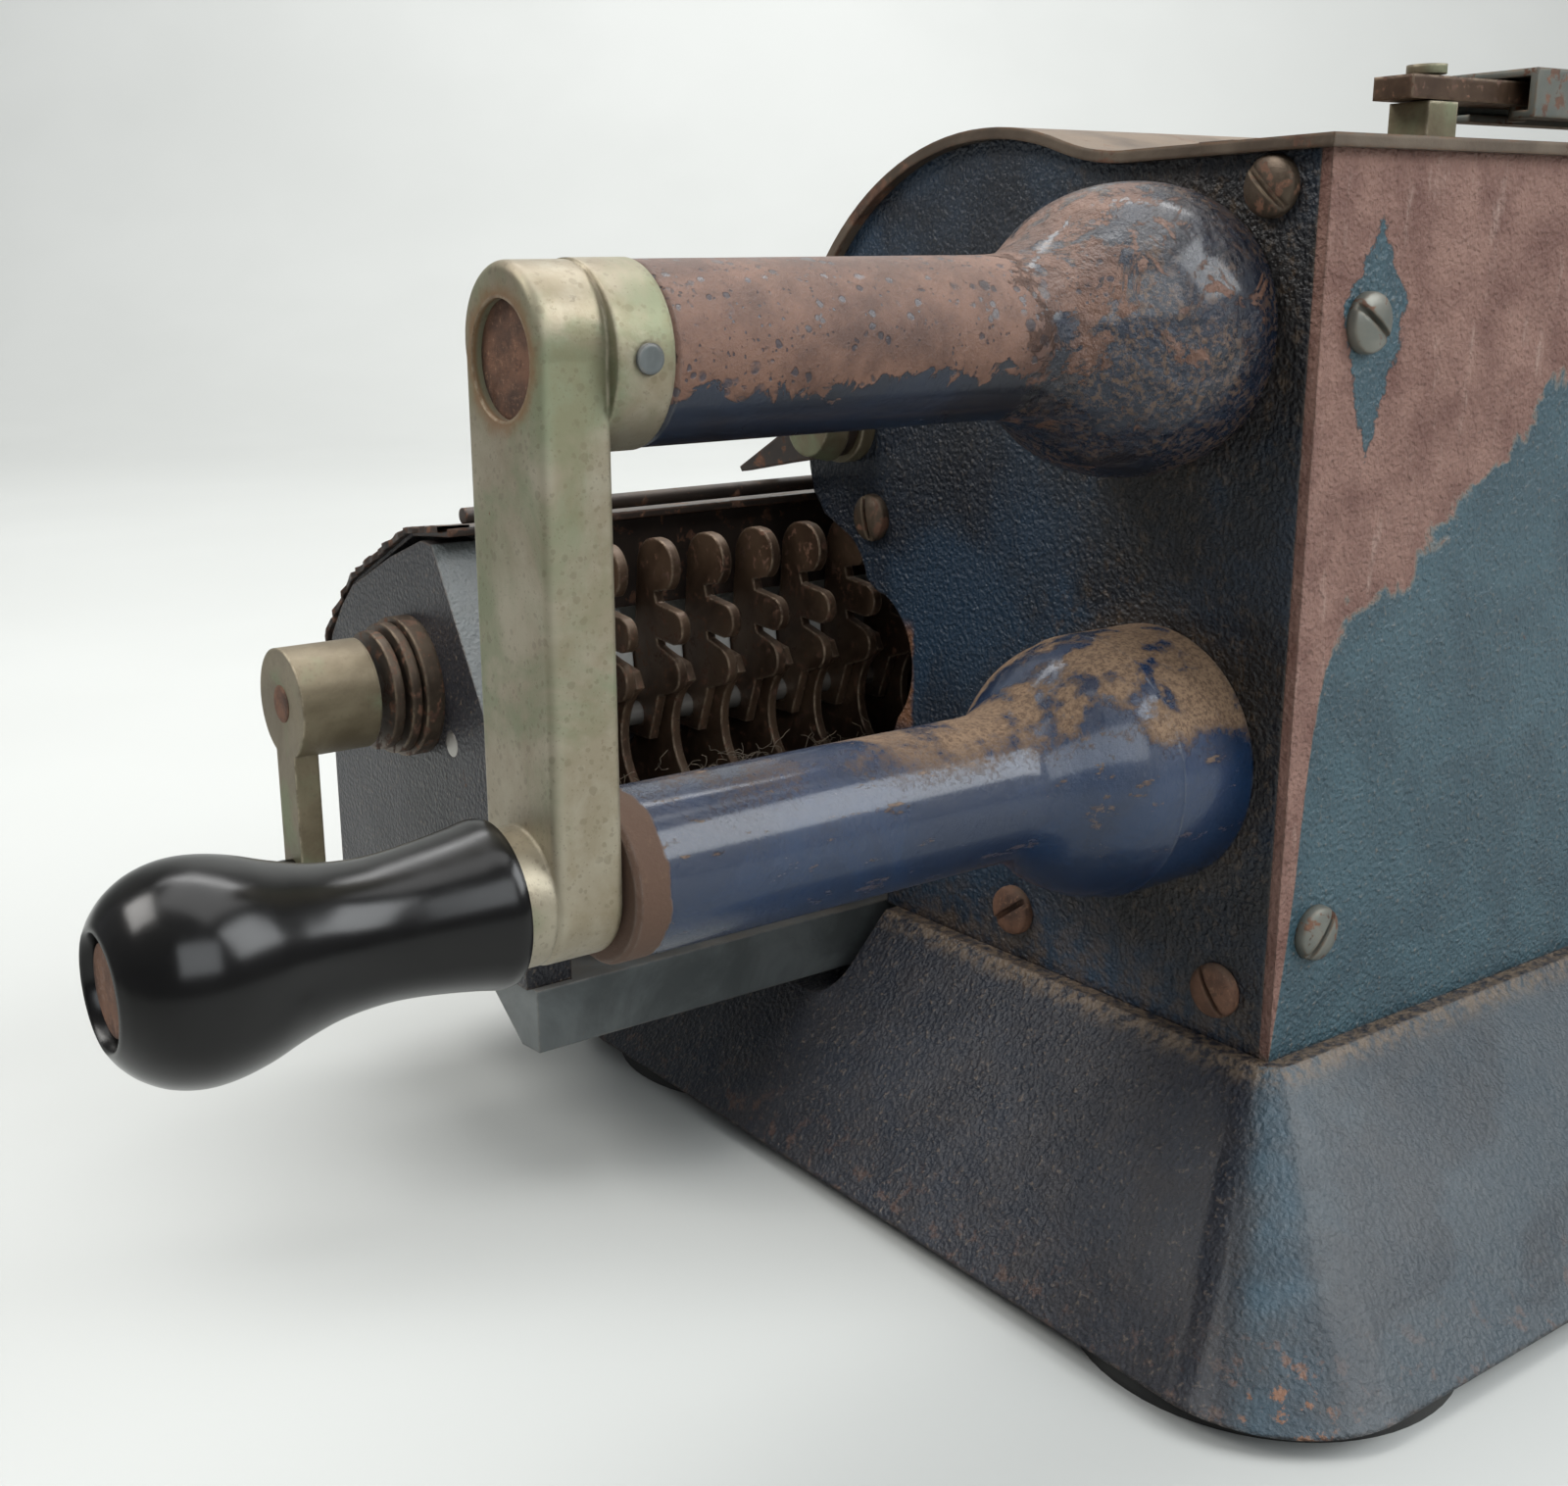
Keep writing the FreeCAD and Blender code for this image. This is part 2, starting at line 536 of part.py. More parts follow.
def tooth_wheel(name, x, width, teeth, root_r, tip_r, bore, half_root, half_tip, phase):
    """A spur gear about the body's X axis: a disc, one tooth and its repeats. The first tooth points to phase,
    in degrees from +Y towards +Z."""
    body = new_body(name)
    disc = new_sketch(body, "YZ_Plane", x)
    ring(disc, 0, 0, root_r)
    pad(body, disc, width)
    angle = math.radians(phase)
    corners = []
    for radius, half in ((number(root_r) - 0.6, half_root), (number(root_r), half_root), (number(tip_r), half_tip),
                         (number(tip_r), -half_tip), (number(root_r), -half_root), (number(root_r) - 0.6, -half_root)):
        along = math.sqrt(radius ** 2 - half ** 2)
        corners.append((along * math.cos(angle) - half * math.sin(angle),
                        along * math.sin(angle) + half * math.cos(angle)))
    tooth = pad(body, draw(new_sketch(body, "YZ_Plane", x), *corners), width)
    doc.recompute()
    repeat_round(body, [tooth], teeth, 360, "X_Axis")
    doc.recompute()
    hole = ring(new_sketch(body, "YZ_Plane", x), 0, 0, bore)
    pocket(body, hole, width, reverse=True)
    return body


def build_gears():
    """The crank's gear and the drum's gear, alike and in mesh, so that the drum turns once for one turn."""
    teeth = size("gear_teeth")
    towards_drum = math.degrees(math.atan2(size("drum_z") - size("crank_z"), size("drum_y") - size("crank_y")))
    common = ("dims.gear_start", "dims.gear_width", teeth, "dims.gear_root_r", "dims.gear_tip_r")
    driver = tooth_wheel("driver", *common, "dims.shaft_r", 0.98, 0.42, towards_drum)
    finish("crank_gear", driver, 0, "dims.crank_y", "dims.crank_z")
    driven = tooth_wheel("driven", *common, "dims.drum_shaft_r", 0.98, 0.42, towards_drum + 180 + 180 / teeth)
    finish("drum_gear", driven, 0, "dims.drum_y", "dims.drum_z")


# --------------------------------------------------------------------------------------- drum, levers, bushes

def build_drum():
    """The setting drum: shaft, one pinwheel for each place, and its two bushes in the plates."""
    shaft = rod("-dims.body_width + dims.plate_thick + 0.4", "dims.drum_y", "dims.drum_z", "dims.drum_shaft_r",
                "dims.body_width - 2 * dims.plate_thick - 0.8")
    finish("drum_shaft", shaft)
    bushes = [cut(rod(x, "dims.drum_y", "dims.drum_z", 8, 6),
                  rod(x, "dims.drum_y", "dims.drum_z", "dims.drum_shaft_r + dims.running", 6))
              for x in ("-dims.body_width + dims.plate_thick", "-dims.plate_thick - 6")]
    finish("drum_bushes", group(*bushes))
    wheel = new_body("wheel")
    pad(wheel, ring(new_sketch(wheel, "YZ_Plane", -2.5), 0, 0, "dims.wheel_r"), 4.6)
    pad(wheel, ring(new_sketch(wheel, "YZ_Plane", 2.0), 0, 0, 7.94), 5.4)
    pin = pad(wheel, draw(new_sketch(wheel, "YZ_Plane", -1.2), (34, -1.1), (37.2, -1.1), (37.2, 1.1), (34, 1.1)), 2)
    doc.recompute()
    repeat_round(wheel, [pin], 9, -96, "X_Axis")
    doc.recompute()
    pocket(wheel, ring(new_sketch(wheel, "YZ_Plane", -3), 0, 0, "dims.drum_shaft_r"), 12, reverse=True)
    doc.recompute()
    shape_part("pinwheels", copies(
        wheel, size("wheel_count"), -size("pitch"), size("first_wheel"), size("drum_y"), size("drum_z")))


def build_setting_levers():
    """One setting lever beside each pinwheel: a ring about the drum's axis with a tip for the finger."""
    tilt = math.radians(84)
    for index in range(int(size("wheel_count"))):
        label = f"setting_lever_{index + 1}"
        body = new_body(label)
        x = f"dims.first_wheel - {index} * dims.pitch + 2.4"
        pad(body, ring(new_sketch(body, "YZ_Plane", x), 0, 0, 31.0), 1.6)
        spread = 1.5 / size("lever_tip_r")
        root = 2.2 / 30.0

        def at(radius, angle):
            return (-radius * math.cos(angle), radius * math.sin(angle))
        arm = draw(
            new_sketch(body, "YZ_Plane", x), at(28, tilt - root), at(42.6, tilt - spread),
            (*at(size("lever_tip_r"), tilt), *at(42.6, tilt + spread)), at(28, tilt + root))
        pad(body, arm, 1.6)
        pocket(body, ring(new_sketch(body, "YZ_Plane", x), 0, 0, 8.0), 1.6, reverse=True)
        finish(label, body, 0, "dims.drum_y", "dims.drum_z")


# ------------------------------------------------------------------------------------------------- the carriage

CARRIAGE_TOP = [(-109.8, 65.4), (-113.5, 65.6), (-125.0, 61.7), (-141.2, 54.8), (-146.6, 50.2), (-151.4, 44.6)]


def build_carriage():
    """The sliding carriage: a bottom plate with its rail, two cheeks, a thin folded cover and its hinge rod."""
    left, right = "dims.carriage_left", "dims.carriage_right"
    length = "dims.carriage_right - dims.carriage_left - 1"
    base = slab(
        "rail", left, length,
        (-83.0, -0.6), (-83.0, -10.8), (-88.4, -11.2), (-99.0, -3.6), (-153.6, -3.6), (-153.6, -0.6))
    finish("carriage_rail", base)
    outline = [(-84.4, -0.6), (-84.4, 24.0), (-96.9, 44.6), *CARRIAGE_TOP, (-153.6, 38.0), (-153.6, -0.6)]
    for label, x in (("carriage_cheek_right", "dims.carriage_right - 8"), ("carriage_cheek_left", left)):
        width = 8 if label.endswith("right") else 5
        body = slab(label, x, width, *outline)
        holes = new_sketch(body, "YZ_Plane", x)
        ring(holes, "dims.result_y", "dims.result_z", 3.06)
        ring(holes, "dims.tens_y", "dims.tens_z", "dims.tens_r")
        pocket(body, holes, width, reverse=True)
        finish(label, body)
    inner_end, inside = "dims.carriage_left + 1", "dims.carriage_right - dims.carriage_left - 2"
    strip = slab(
        "strip", inner_end, inside, (-105.2, 67.0), (-105.2, 68.2), (-114.0, 67.4), (-118.8, 66.9), (-118.2, 65.8),
        (-113.8, 66.2))
    finish("lid_strip", strip)
    plate = slab("windows", inner_end, inside, (-118.8, 66.9), (-142.6, 56.0), (-141.9, 55.0), (-118.2, 65.8))
    for first, count in ((size("first_dial"), size("dial_count")), (size("counter_first"), size("counter_count"))):
        for index in range(int(count)):
            x = first - index * size("pitch")
            opening = draw(
                new_sketch(plate, "XY_Plane", 70), (x - 3.2, -136.5), (x + 3.2, -136.5), (x + 3.2, -125.5),
                (x - 3.2, -125.5))
            pocket(plate, opening, 20)
    finish("register_plate", plate)
    cover = slab(
        "front", inner_end, inside, (-142.6, 56.0), (-152.6, 46.0), (-155.3, 38.6), (-155.3, -3.6), (-154.1, -3.6),
        (-154.1, 38.2), (-151.6, 45.4), (-141.9, 55.0))
    finish("carriage_cover", cover)
    hinge = rod("dims.carriage_left + 2", -106.4, 69.9, 1.25, "dims.carriage_right - dims.carriage_left - 6")
    finish("carriage_hinge_rod", hinge)
    finish("tens_shaft", rod(left, "dims.tens_y", "dims.tens_z", "dims.tens_r",
                             "dims.carriage_right - dims.carriage_left"))
    build_tens_rows()


def build_tens_rows():
    """The fixed comb plates and the rocking tens-carry levers that stand in rows at the carriage's back."""
    count = size("dial_count")
    comb = slab(
        "comb", "dims.first_dial - 7.6", 1.6,
        (-113.0, -0.6), (-88.0, -0.6), (-88.0, 20.5), (-90.5, 22.5), (-98.6, 31.0, -93.6, 41.4), (-95.0, 44.0),
        (-100.6, 45.0), (-100.6, 40.0), (-113.0, 26.0))
    hole = ring(new_sketch(comb, "YZ_Plane", "dims.first_dial - 10"), "dims.tens_y", "dims.tens_z", "dims.tens_r")
    pocket(comb, hole, 10, reverse=True)
    shape_part("comb_plates", copies(comb, count, -size("pitch")))
    lever = slab(
        "carry", "dims.first_dial - 5.6", 1.7,
        (-108.5, 30.0), (-102.6, 30.0), (-99.6, 38.0), (-95.6, 39.2), (-93.2, 42.0, -95.0, 45.2), (-99.4, 46.4),
        (-99.8, 47.8), (-94.6, 47.4), (-92.0, 50.2, -94.4, 53.0), (-99.6, 53.6), (-100.2, 55.4), (-96.4, 56.2),
        (-94.6, 60.4, -99.0, 64.2), (-103.4, 63.0, -105.2, 58.4), (-106.6, 46.0), (-108.5, 38.0))
    eye = ring(new_sketch(lever, "YZ_Plane", "dims.first_dial - 10"), "dims.tens_y", "dims.tens_z",
               "dims.tens_r + dims.running")
    pocket(lever, eye, 10, reverse=True)
    shape_part("tens_carry_levers", copies(lever, count, -size("pitch")))


def build_dials():
    """The number dials of the product and of the counter, on shafts turned by the two clearing cranks."""
    middle = -62.0
    shaft_r = 3.0
    for label, start, end, first, count in (
            ("result", middle, size("carriage_right") + 19.6, size("first_dial"), size("dial_count")),
            ("counter", size("carriage_left") - 11.0, middle - 1.0, size("counter_first"), size("counter_count"))):
        finish(f"{label}_shaft", rod(start, "dims.result_y", "dims.result_z", shaft_r, end - start))
        body = new_body(f"{label}_dial")
        pad(body, ring(new_sketch(body, "YZ_Plane", first - 3.6), 0, 0, "dims.dial_r"), 5.6)
        tooth = pad(body, draw(new_sketch(body, "YZ_Plane", first - 6.0), (6.6, -1.0), (9.6, -0.6), (9.6, 0.6),
                               (6.6, 1.0)), 2.4)
        doc.recompute()
        repeat_round(body, [tooth], 10, 360, "X_Axis")
        pad(body, ring(new_sketch(body, "YZ_Plane", first - 6.0), 0, 0, 7.0), 2.4)
        pocket(body, ring(new_sketch(body, "YZ_Plane", first - 7), 0, 0, shaft_r), 10, reverse=True)
        shape_part(f"{label}_dials", copies(
            body, count, -size("pitch"), 0.0, size("result_y"), size("result_z")))


def clearing_crank(inner, sign, drop):
    """A small crank: hub, flat arm with a round end, cross pin hole and a bore for its shaft."""
    facing = ALONG_X if sign > 0 else ALONG_MINUS_X
    hub = rod(inner, "dims.result_y", "dims.result_z", 8.8, 13.0, facing)
    outer = inner + sign * 9.0
    low_x = min(outer, outer + sign * 4.0)
    end_z = f"dims.result_z - {drop}"
    arm = box(low_x, "dims.result_y - 3.6", end_z, 4.0, 7.2, drop)
    round_end = rod(low_x, "dims.result_y", end_z, 4.4, 4.0)
    bore = rod(inner, "dims.result_y", "dims.result_z", 3.0, 10.0, facing)
    return cut(fuse(hub, arm, round_end), bore)


def build_clearing():
    """The clearing cranks at the carriage's ends, the right one with a collar and a spring washer behind it."""
    inner = size("carriage_right") + 9.6
    y, z = "dims.result_y", "dims.result_z"
    finish("clearing_crank", clearing_crank(inner, 1, 29.0))
    knob = turned(
        "knob", (inner + 13.05, 0), (inner + 13.05, 3.4), (inner + 17.0, 3.0, inner + 21.0, 4.0),
        (inner + 25.0, 4.6, inner + 27.0, 3.6), (inner + 28.0, 2.4), (inner + 28.0, 0))
    finish("clearing_knob", knob, 0, y, "dims.result_z - 29")
    collar = cut(rod("dims.carriage_right", y, z, 11.4, 3.0), rod("dims.carriage_right", y, z, 3.06, 3.0))
    finish("shaft_collar", collar)
    coils = []
    for offset, radius in ((3.5, 10.6), (6.0, 9.6)):
        start = size("carriage_right") + offset
        coils.append(cut(rod(start, y, z, radius, 1.6), rod(start, y, z, 3.06, 1.6)))
    finish("spring_washers", group(*coils))
    outer = size("carriage_left") - 1.0
    finish("counter_clearing_crank", clearing_crank(outer, -1, 22.0))


# ------------------------------------------------------------------------------------- guide, link bar, pointer

def build_guide():
    """The bar on the base's low front that the carriage slides along."""
    finish("carriage_guide", box("-dims.body_width + 6", -122, "dims.notch_z", "dims.body_width - 12", 18, 9.5))


def build_link_bar():
    """The bar across the top: a folded channel carried by two swinging levers on pinned blocks."""
    cover_top = 119.57 + size("sheet_thick")
    blocks = []
    for x in ("dims.link_right", "dims.link_left"):
        start = f"{x} - 3.2"
        blocks.append(fuse(
            box(start, "dims.link_y - 3", cover_top, 6.4, 6, 126.6 - cover_top),
            rod(x, "dims.link_y", 126.6, 1.6, 3.6, UPRIGHT), rod(x, "dims.link_y", 130.2, 2.6, 1.2, UPRIGHT)))
    finish("link_blocks", group(*blocks))
    for label, x, facing in (("link_lever_right", "dims.link_right", -1), ("link_lever_left", "dims.link_left", 1)):
        low = f"{x} - dims.link_arm - 3.5" if facing < 0 else f"{x} - 7"
        bar = box(low, "dims.link_y - 3", 126.8, "dims.link_arm + 10.5", 6, 3.0)
        far = f"{x} + {facing} * dims.link_arm"
        holes = [rod(x, "dims.link_y", 126, 1.66, 5, UPRIGHT), rod(far, "dims.link_y", 126, 2.0, 5, UPRIGHT)]
        finish(label, cut(bar, *holes))
    start = "dims.link_left + dims.link_arm - 6.5"
    length = "dims.link_right - dims.link_left - 2 * dims.link_arm + 13"
    shell = box(start, "dims.link_y - 6.5", 124.9, length, 13, 6.4)
    hollow = box(start, "dims.link_y - 5.5", 125.9, length, 11, 4.4)
    gap = box(start, "dims.link_y - 3.2", 124, length, 6.4, 3)
    rivets = [rod(f"{x} + {facing} * dims.link_arm", "dims.link_y", 124.9, 1.2, 6.4, UPRIGHT)
              for x, facing in (("dims.link_right", -1), ("dims.link_left", 1))]
    finish("link_bar", fuse(cut(shell, hollow, gap), *rivets))


def build_pointer():
    """The pointed pawl over the carriage, on a round boss of the right side plate."""
    y, z = "dims.pointer_y", "dims.pointer_z"
    boss = fuse(rod(0, y, z, 6.6, 2.6), rod(2.6, y, z, 3.0, 2.5), cone(5.1, y, z, 6.2, 5.2, 4.0))
    finish("pointer_boss", boss)
    pawl = slab(
        "pawl", 2.9, 1.9, ("dims.pointer_y + 1", "dims.pointer_z - 5.4"),
        ("dims.pointer_y + 5.6", "dims.pointer_z + 1.4", "dims.pointer_y - 2", "dims.pointer_z + 5.2"),
        (-104.0, 79.2), (-116.6, 72.4), (-116.0, 71.6), (-103.0, 74.0))
    pocket(pawl, ring(new_sketch(pawl, "YZ_Plane", 2), y, z, 3.06), 5, reverse=True)
    finish("pointer_pawl", pawl)


def check_and_export():
    """Stops if any object failed, then writes one STEP file for each sub-part."""
    doc.recompute()
    failed = [thing.Label for thing in doc.Objects if {"Invalid", "Error"} & set(thing.State)]
    if failed:
        raise RuntimeError(f"failed objects: {failed}")
    os.makedirs("parts", exist_ok=True)
    for label, thing in sub_parts:
        shape = thing.Shape
        if shape.isNull() or not shape.isValid() or not shape.Solids:
            raise RuntimeError(f"{label} has no valid solid")
        shape.exportStep(f"parts/{label}.step")
    whole = Part.makeCompound([thing.Shape for _, thing in sub_parts]).BoundBox
    print(len(sub_parts), "sub-parts", whole)


build_base()
build_feet()
build_side_plates()
build_side_screws()
build_back_panel()
build_top_cover()
build_setting_plate()
build_tubes()
build_crank()
build_gears()
build_drum()
build_setting_levers()
build_carriage()
build_dials()
build_clearing()
build_guide()
build_link_bar()
build_pointer()
check_and_export()
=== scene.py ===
"""Looks of a hand-cranked pinwheel calculating machine, built over its CAD frame."""
import logging
import math
import random
from dataclasses import dataclass, field
from enum import Enum
from typing import Callable, Optional, Sequence, Union

import bpy
from mathutils import Matrix, Vector


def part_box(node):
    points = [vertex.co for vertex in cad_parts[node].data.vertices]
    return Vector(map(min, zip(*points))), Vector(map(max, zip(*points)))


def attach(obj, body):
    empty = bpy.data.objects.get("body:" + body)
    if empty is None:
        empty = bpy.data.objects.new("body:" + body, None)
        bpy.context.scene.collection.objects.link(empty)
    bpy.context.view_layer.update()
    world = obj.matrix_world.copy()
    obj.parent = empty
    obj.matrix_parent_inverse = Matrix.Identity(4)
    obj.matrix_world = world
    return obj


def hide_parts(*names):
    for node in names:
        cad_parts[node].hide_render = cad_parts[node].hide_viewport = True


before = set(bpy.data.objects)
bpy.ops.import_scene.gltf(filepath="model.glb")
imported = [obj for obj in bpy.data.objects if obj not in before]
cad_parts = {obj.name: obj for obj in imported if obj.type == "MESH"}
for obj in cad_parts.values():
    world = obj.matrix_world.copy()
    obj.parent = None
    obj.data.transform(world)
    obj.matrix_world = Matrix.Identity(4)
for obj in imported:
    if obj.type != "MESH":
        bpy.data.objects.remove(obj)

LOG = logging.getLogger("scene")
MM = 0.001
Colour = tuple[float, float, float, float]
Socket = bpy.types.NodeSocket
Value = Union[float, tuple, Socket]


def body_origin() -> Vector:
    """The point that the machine's own sizes are counted from.

    Returns:
        The corner where the right plate's face, the back panel's face and the base's ledge meet, in metres.
    """
    low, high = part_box("right_side_plate")
    return Vector((high.x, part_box("back_panel")[1].y, low.z))


ORIGIN = body_origin()


def at(x: float, y: float, z: float) -> Vector:
    """Turns a place in the machine's own frame into a place in the scene.

    Args:
        x: Millimetres to the crank side of the right plate.
        y: Millimetres behind the back panel's face.
        z: Millimetres above the base's ledge.

    Returns:
        The place in metres.
    """
    return ORIGIN + Vector((x, y, z)) * MM


def axis_of(node: str) -> tuple[float, float]:
    """Where the axis of a round part that lies along X stands in the machine's own frame.

    Args:
        node: The CAD node's name.

    Returns:
        Its (y, z) in millimetres.
    """
    low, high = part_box(node)
    middle = ((low + high) / 2 - ORIGIN) / MM
    return middle.y, middle.z


def rgb(red: float, green: float, blue: float) -> Colour:
    """An opaque linear colour."""
    return (red, green, blue, 1.0)


class Graph:
    """Adds and wires the nodes of one tree."""

    def __init__(self, tree: bpy.types.NodeTree) -> None:
        """Takes the node tree to fill."""
        self.tree = tree

    def add(self, kind: str, **settings: object) -> bpy.types.Node:
        """Adds a node.

        Args:
            kind: The node's type name.
            settings: Properties to set on it.

        Returns:
            The node.
        """
        node = self.tree.nodes.new(kind)
        for name, value in settings.items():
            setattr(node, name, value)
        return node

    def feed(self, socket: Socket, value: Value) -> None:
        """Links a socket to another one, or sets it to a constant.

        Args:
            socket: The input to feed.
            value: A socket or a constant.
        """
        if isinstance(value, Socket):
            self.tree.links.new(value, socket)
        else:
            socket.default_value = value

    def math(self, operation: str, first: Value, second: Value = 0.0, clamp: bool = False) -> Socket:
        """Does arithmetic on numbers.

        Args:
            operation: The operation's name.
            first: The first number.
            second: The second number.
            clamp: Whether the answer is kept between 0 and 1.

        Returns:
            The answer's socket.
        """
        node = self.add("ShaderNodeMath", operation=operation, use_clamp=clamp)
        self.feed(node.inputs[0], first)
        self.feed(node.inputs[1], second)
        return node.outputs[0]

    def times(self, first: Value, second: Value, clamp: bool = False) -> Socket:
        """Multiplies two numbers."""
        return self.math("MULTIPLY", first, second, clamp)

    def plus(self, first: Value, second: Value) -> Socket:
        """Adds two numbers."""
        return self.math("ADD", first, second)

    def minus(self, first: Value, second: Value) -> Socket:
        """Takes the second number from the first."""
        return self.math("SUBTRACT", first, second)

    def vector(self, operation: str, first: Value, second: Value = (0.0, 0.0, 0.0)) -> bpy.types.Node:
        """Does arithmetic on vectors.

        Args:
            operation: The operation's name.
            first: The first vector.
            second: The second vector.

        Returns:
            The node, whose outputs are Vector and Value.
        """
        node = self.add("ShaderNodeVectorMath", operation=operation)
        self.feed(node.inputs[0], first)
        self.feed(node.inputs[1], second)
        return node

    def span(self, value: Value, low: Value, high: Value, start: float = 0.0, stop: float = 1.0) -> Socket:
        """Maps a range smoothly onto another and clamps it.

        Args:
            value: The number to map.
            low: The number that gives start.
            high: The number that gives stop.
            start: The answer at low.
            stop: The answer at high.

        Returns:
            The answer's socket.
        """
        node = self.add("ShaderNodeMapRange", interpolation_type="SMOOTHSTEP")
        for socket, given in zip(node.inputs, (value, low, high, start, stop)):
            self.feed(socket, given)
        return node.outputs[0]

    def mix(self, factor: Value, first: Value, second: Value) -> Socket:
        """Mixes two colours.

        Args:
            factor: How much of the second colour to take.
            first: The first colour.
            second: The second colour.

        Returns:
            The mixed colour's socket.
        """
        node = self.add("ShaderNodeMix", data_type="RGBA")
        for index, given in ((0, factor), (6, first), (7, second)):
            self.feed(node.inputs[index], given)
        return node.outputs[2]

    def blend(self, factor: Value, first: Value, second: Value) -> Socket:
        """Mixes two numbers.

        Args:
            factor: How much of the second number to take.
            first: The first number.
            second: The second number.

        Returns:
            The mixed number's socket.
        """
        node = self.add("ShaderNodeMix", data_type="FLOAT")
        for index, given in ((0, factor), (2, first), (3, second)):
            self.feed(node.inputs[index], given)
        return node.outputs[0]

    def noise(self, vector: Value, scale: Value, detail: float = 5.0, rough: float = 0.58,
              warp: float = 0.0) -> Socket:
        """Fractal noise.

        Args:
            vector: Where to sample it.
            scale: Its frequency.
            detail: Its number of octaves.
            rough: How strong the fine octaves are.
            warp: How much it is distorted.

        Returns:
            The noise value's socket.
        """
        node = self.add("ShaderNodeTexNoise")
        for label, given in (("Vector", vector), ("Scale", scale), ("Detail", detail), ("Roughness", rough),
                             ("Distortion", warp)):
            self.feed(node.inputs[label], given)
        return node.outputs["Fac"]

    def split(self, vector: Value) -> Sequence[Socket]:
        """Splits a vector.

        Args:
            vector: The vector.

        Returns:
            The sockets of X, Y and Z.
        """
        node = self.add("ShaderNodeSeparateXYZ")
        self.feed(node.inputs[0], vector)
        return node.outputs

    def stretch(self, vector: Value, x: float, y: float, z: float) -> Socket:
        """Scales a vector's parts."""
        return self.vector("MULTIPLY", vector, (x, y, z)).outputs["Vector"]

    def call(self, group: bpy.types.NodeTree, **inputs: Value) -> Sequence[Socket]:
        """Uses a shared group.

        Args:
            group: The group's tree.
            inputs: What to feed its inputs.

        Returns:
            The group node's outputs.
        """
        node = self.add("ShaderNodeGroup")
        node.node_tree = group
        for name, value in inputs.items():
            self.feed(node.inputs[name], value)
        return node.outputs

    def bump(self, height: Value, depth: Value, normal: Optional[Value] = None) -> Socket:
        """Turns a height into a normal.

        Args:
            height: The height, 0 to 1.
            depth: How deep a height of 1 is, in metres.
            normal: The normal to start from.

        Returns:
            The bent normal's socket.
        """
        node = self.add("ShaderNodeBump")
        self.feed(node.inputs["Height"], height)
        self.feed(node.inputs["Distance"], depth)
        if normal is not None:
            self.feed(node.inputs["Normal"], normal)
        return node.outputs["Normal"]


FLOAT, VECTOR, COLOUR = "NodeSocketFloat", "NodeSocketVector", "NodeSocketColor"


def shared_group(name: str, inputs: dict[str, tuple[str, Value]], outputs: dict[str, str],
                 fill: Callable[[Graph, dict[str, Socket]], dict[str, Value]]) -> bpy.types.NodeTree:
    """Makes a node group once.

    Args:
        name: The group's name.
        inputs: Each input's socket type and default.
        outputs: Each output's socket type.
        fill: Builds the inside and returns what feeds each output.

    Returns:
        The group's tree.
    """
    tree = bpy.data.node_groups.new(name, "ShaderNodeTree")
    for label, (kind, default) in inputs.items():
        tree.interface.new_socket(name=label, in_out="INPUT", socket_type=kind).default_value = default
    for label, kind in outputs.items():
        tree.interface.new_socket(name=label, in_out="OUTPUT", socket_type=kind)
    graph = Graph(tree)
    start, end = graph.add("NodeGroupInput"), graph.add("NodeGroupOutput")
    answers = fill(graph, {label: start.outputs[label] for label in inputs})
    for label, value in answers.items():
        graph.feed(end.inputs[label], value)
    return tree


def fill_edges(graph: Graph, given: dict[str, Socket]) -> dict[str, Value]:
    """Worn edges: where the rounded normal differs from the face's own, broken up by noise.

    Args:
        graph: The group's graph.
        given: Its inputs.

    Returns:
        What feeds its outputs.
    """
    bevel = graph.add("ShaderNodeBevel", samples=4)
    graph.feed(bevel.inputs["Radius"], given["Radius"])
    face = graph.add("ShaderNodeNewGeometry").outputs["Normal"]
    turn = graph.vector("DOT_PRODUCT", bevel.outputs["Normal"], face).outputs["Value"]
    edge = graph.span(graph.minus(1.0, turn), 0.01, 0.16)
    breakup = graph.span(graph.noise(given["Vector"], 0.45, 6.0, 0.7), 0.36, 0.62)
    mask = graph.times(graph.times(edge, breakup), given["Amount"], clamp=True)
    return {"Mask": mask, "Normal": bevel.outputs["Normal"]}


def fill_rust(graph: Graph, given: dict[str, Socket]) -> dict[str, Value]:
    """Rust: its cover and its two-tone colour.

    Args:
        graph: The group's graph.
        given: Its inputs.

    Returns:
        What feeds its outputs.
    """
    spread = graph.noise(given["Vector"], given["Scale"], 8.0, 0.68, 0.4)
    limit = graph.minus(0.72, graph.times(given["Cover"], 0.44))
    mask = graph.span(graph.minus(spread, limit), -0.012, 0.03)
    grain = graph.noise(given["Vector"], 1.7, 6.0, 0.7)
    tone = graph.span(graph.noise(given["Vector"], 0.22, 5.0, 0.6), 0.34, 0.66)
    dark = graph.mix(tone, rgb(0.045, 0.022, 0.014), rgb(0.13, 0.062, 0.036))
    colour = graph.mix(graph.span(grain, 0.52, 0.8), dark, rgb(0.27, 0.15, 0.09))
    return {"Colour": colour, "Mask": mask}


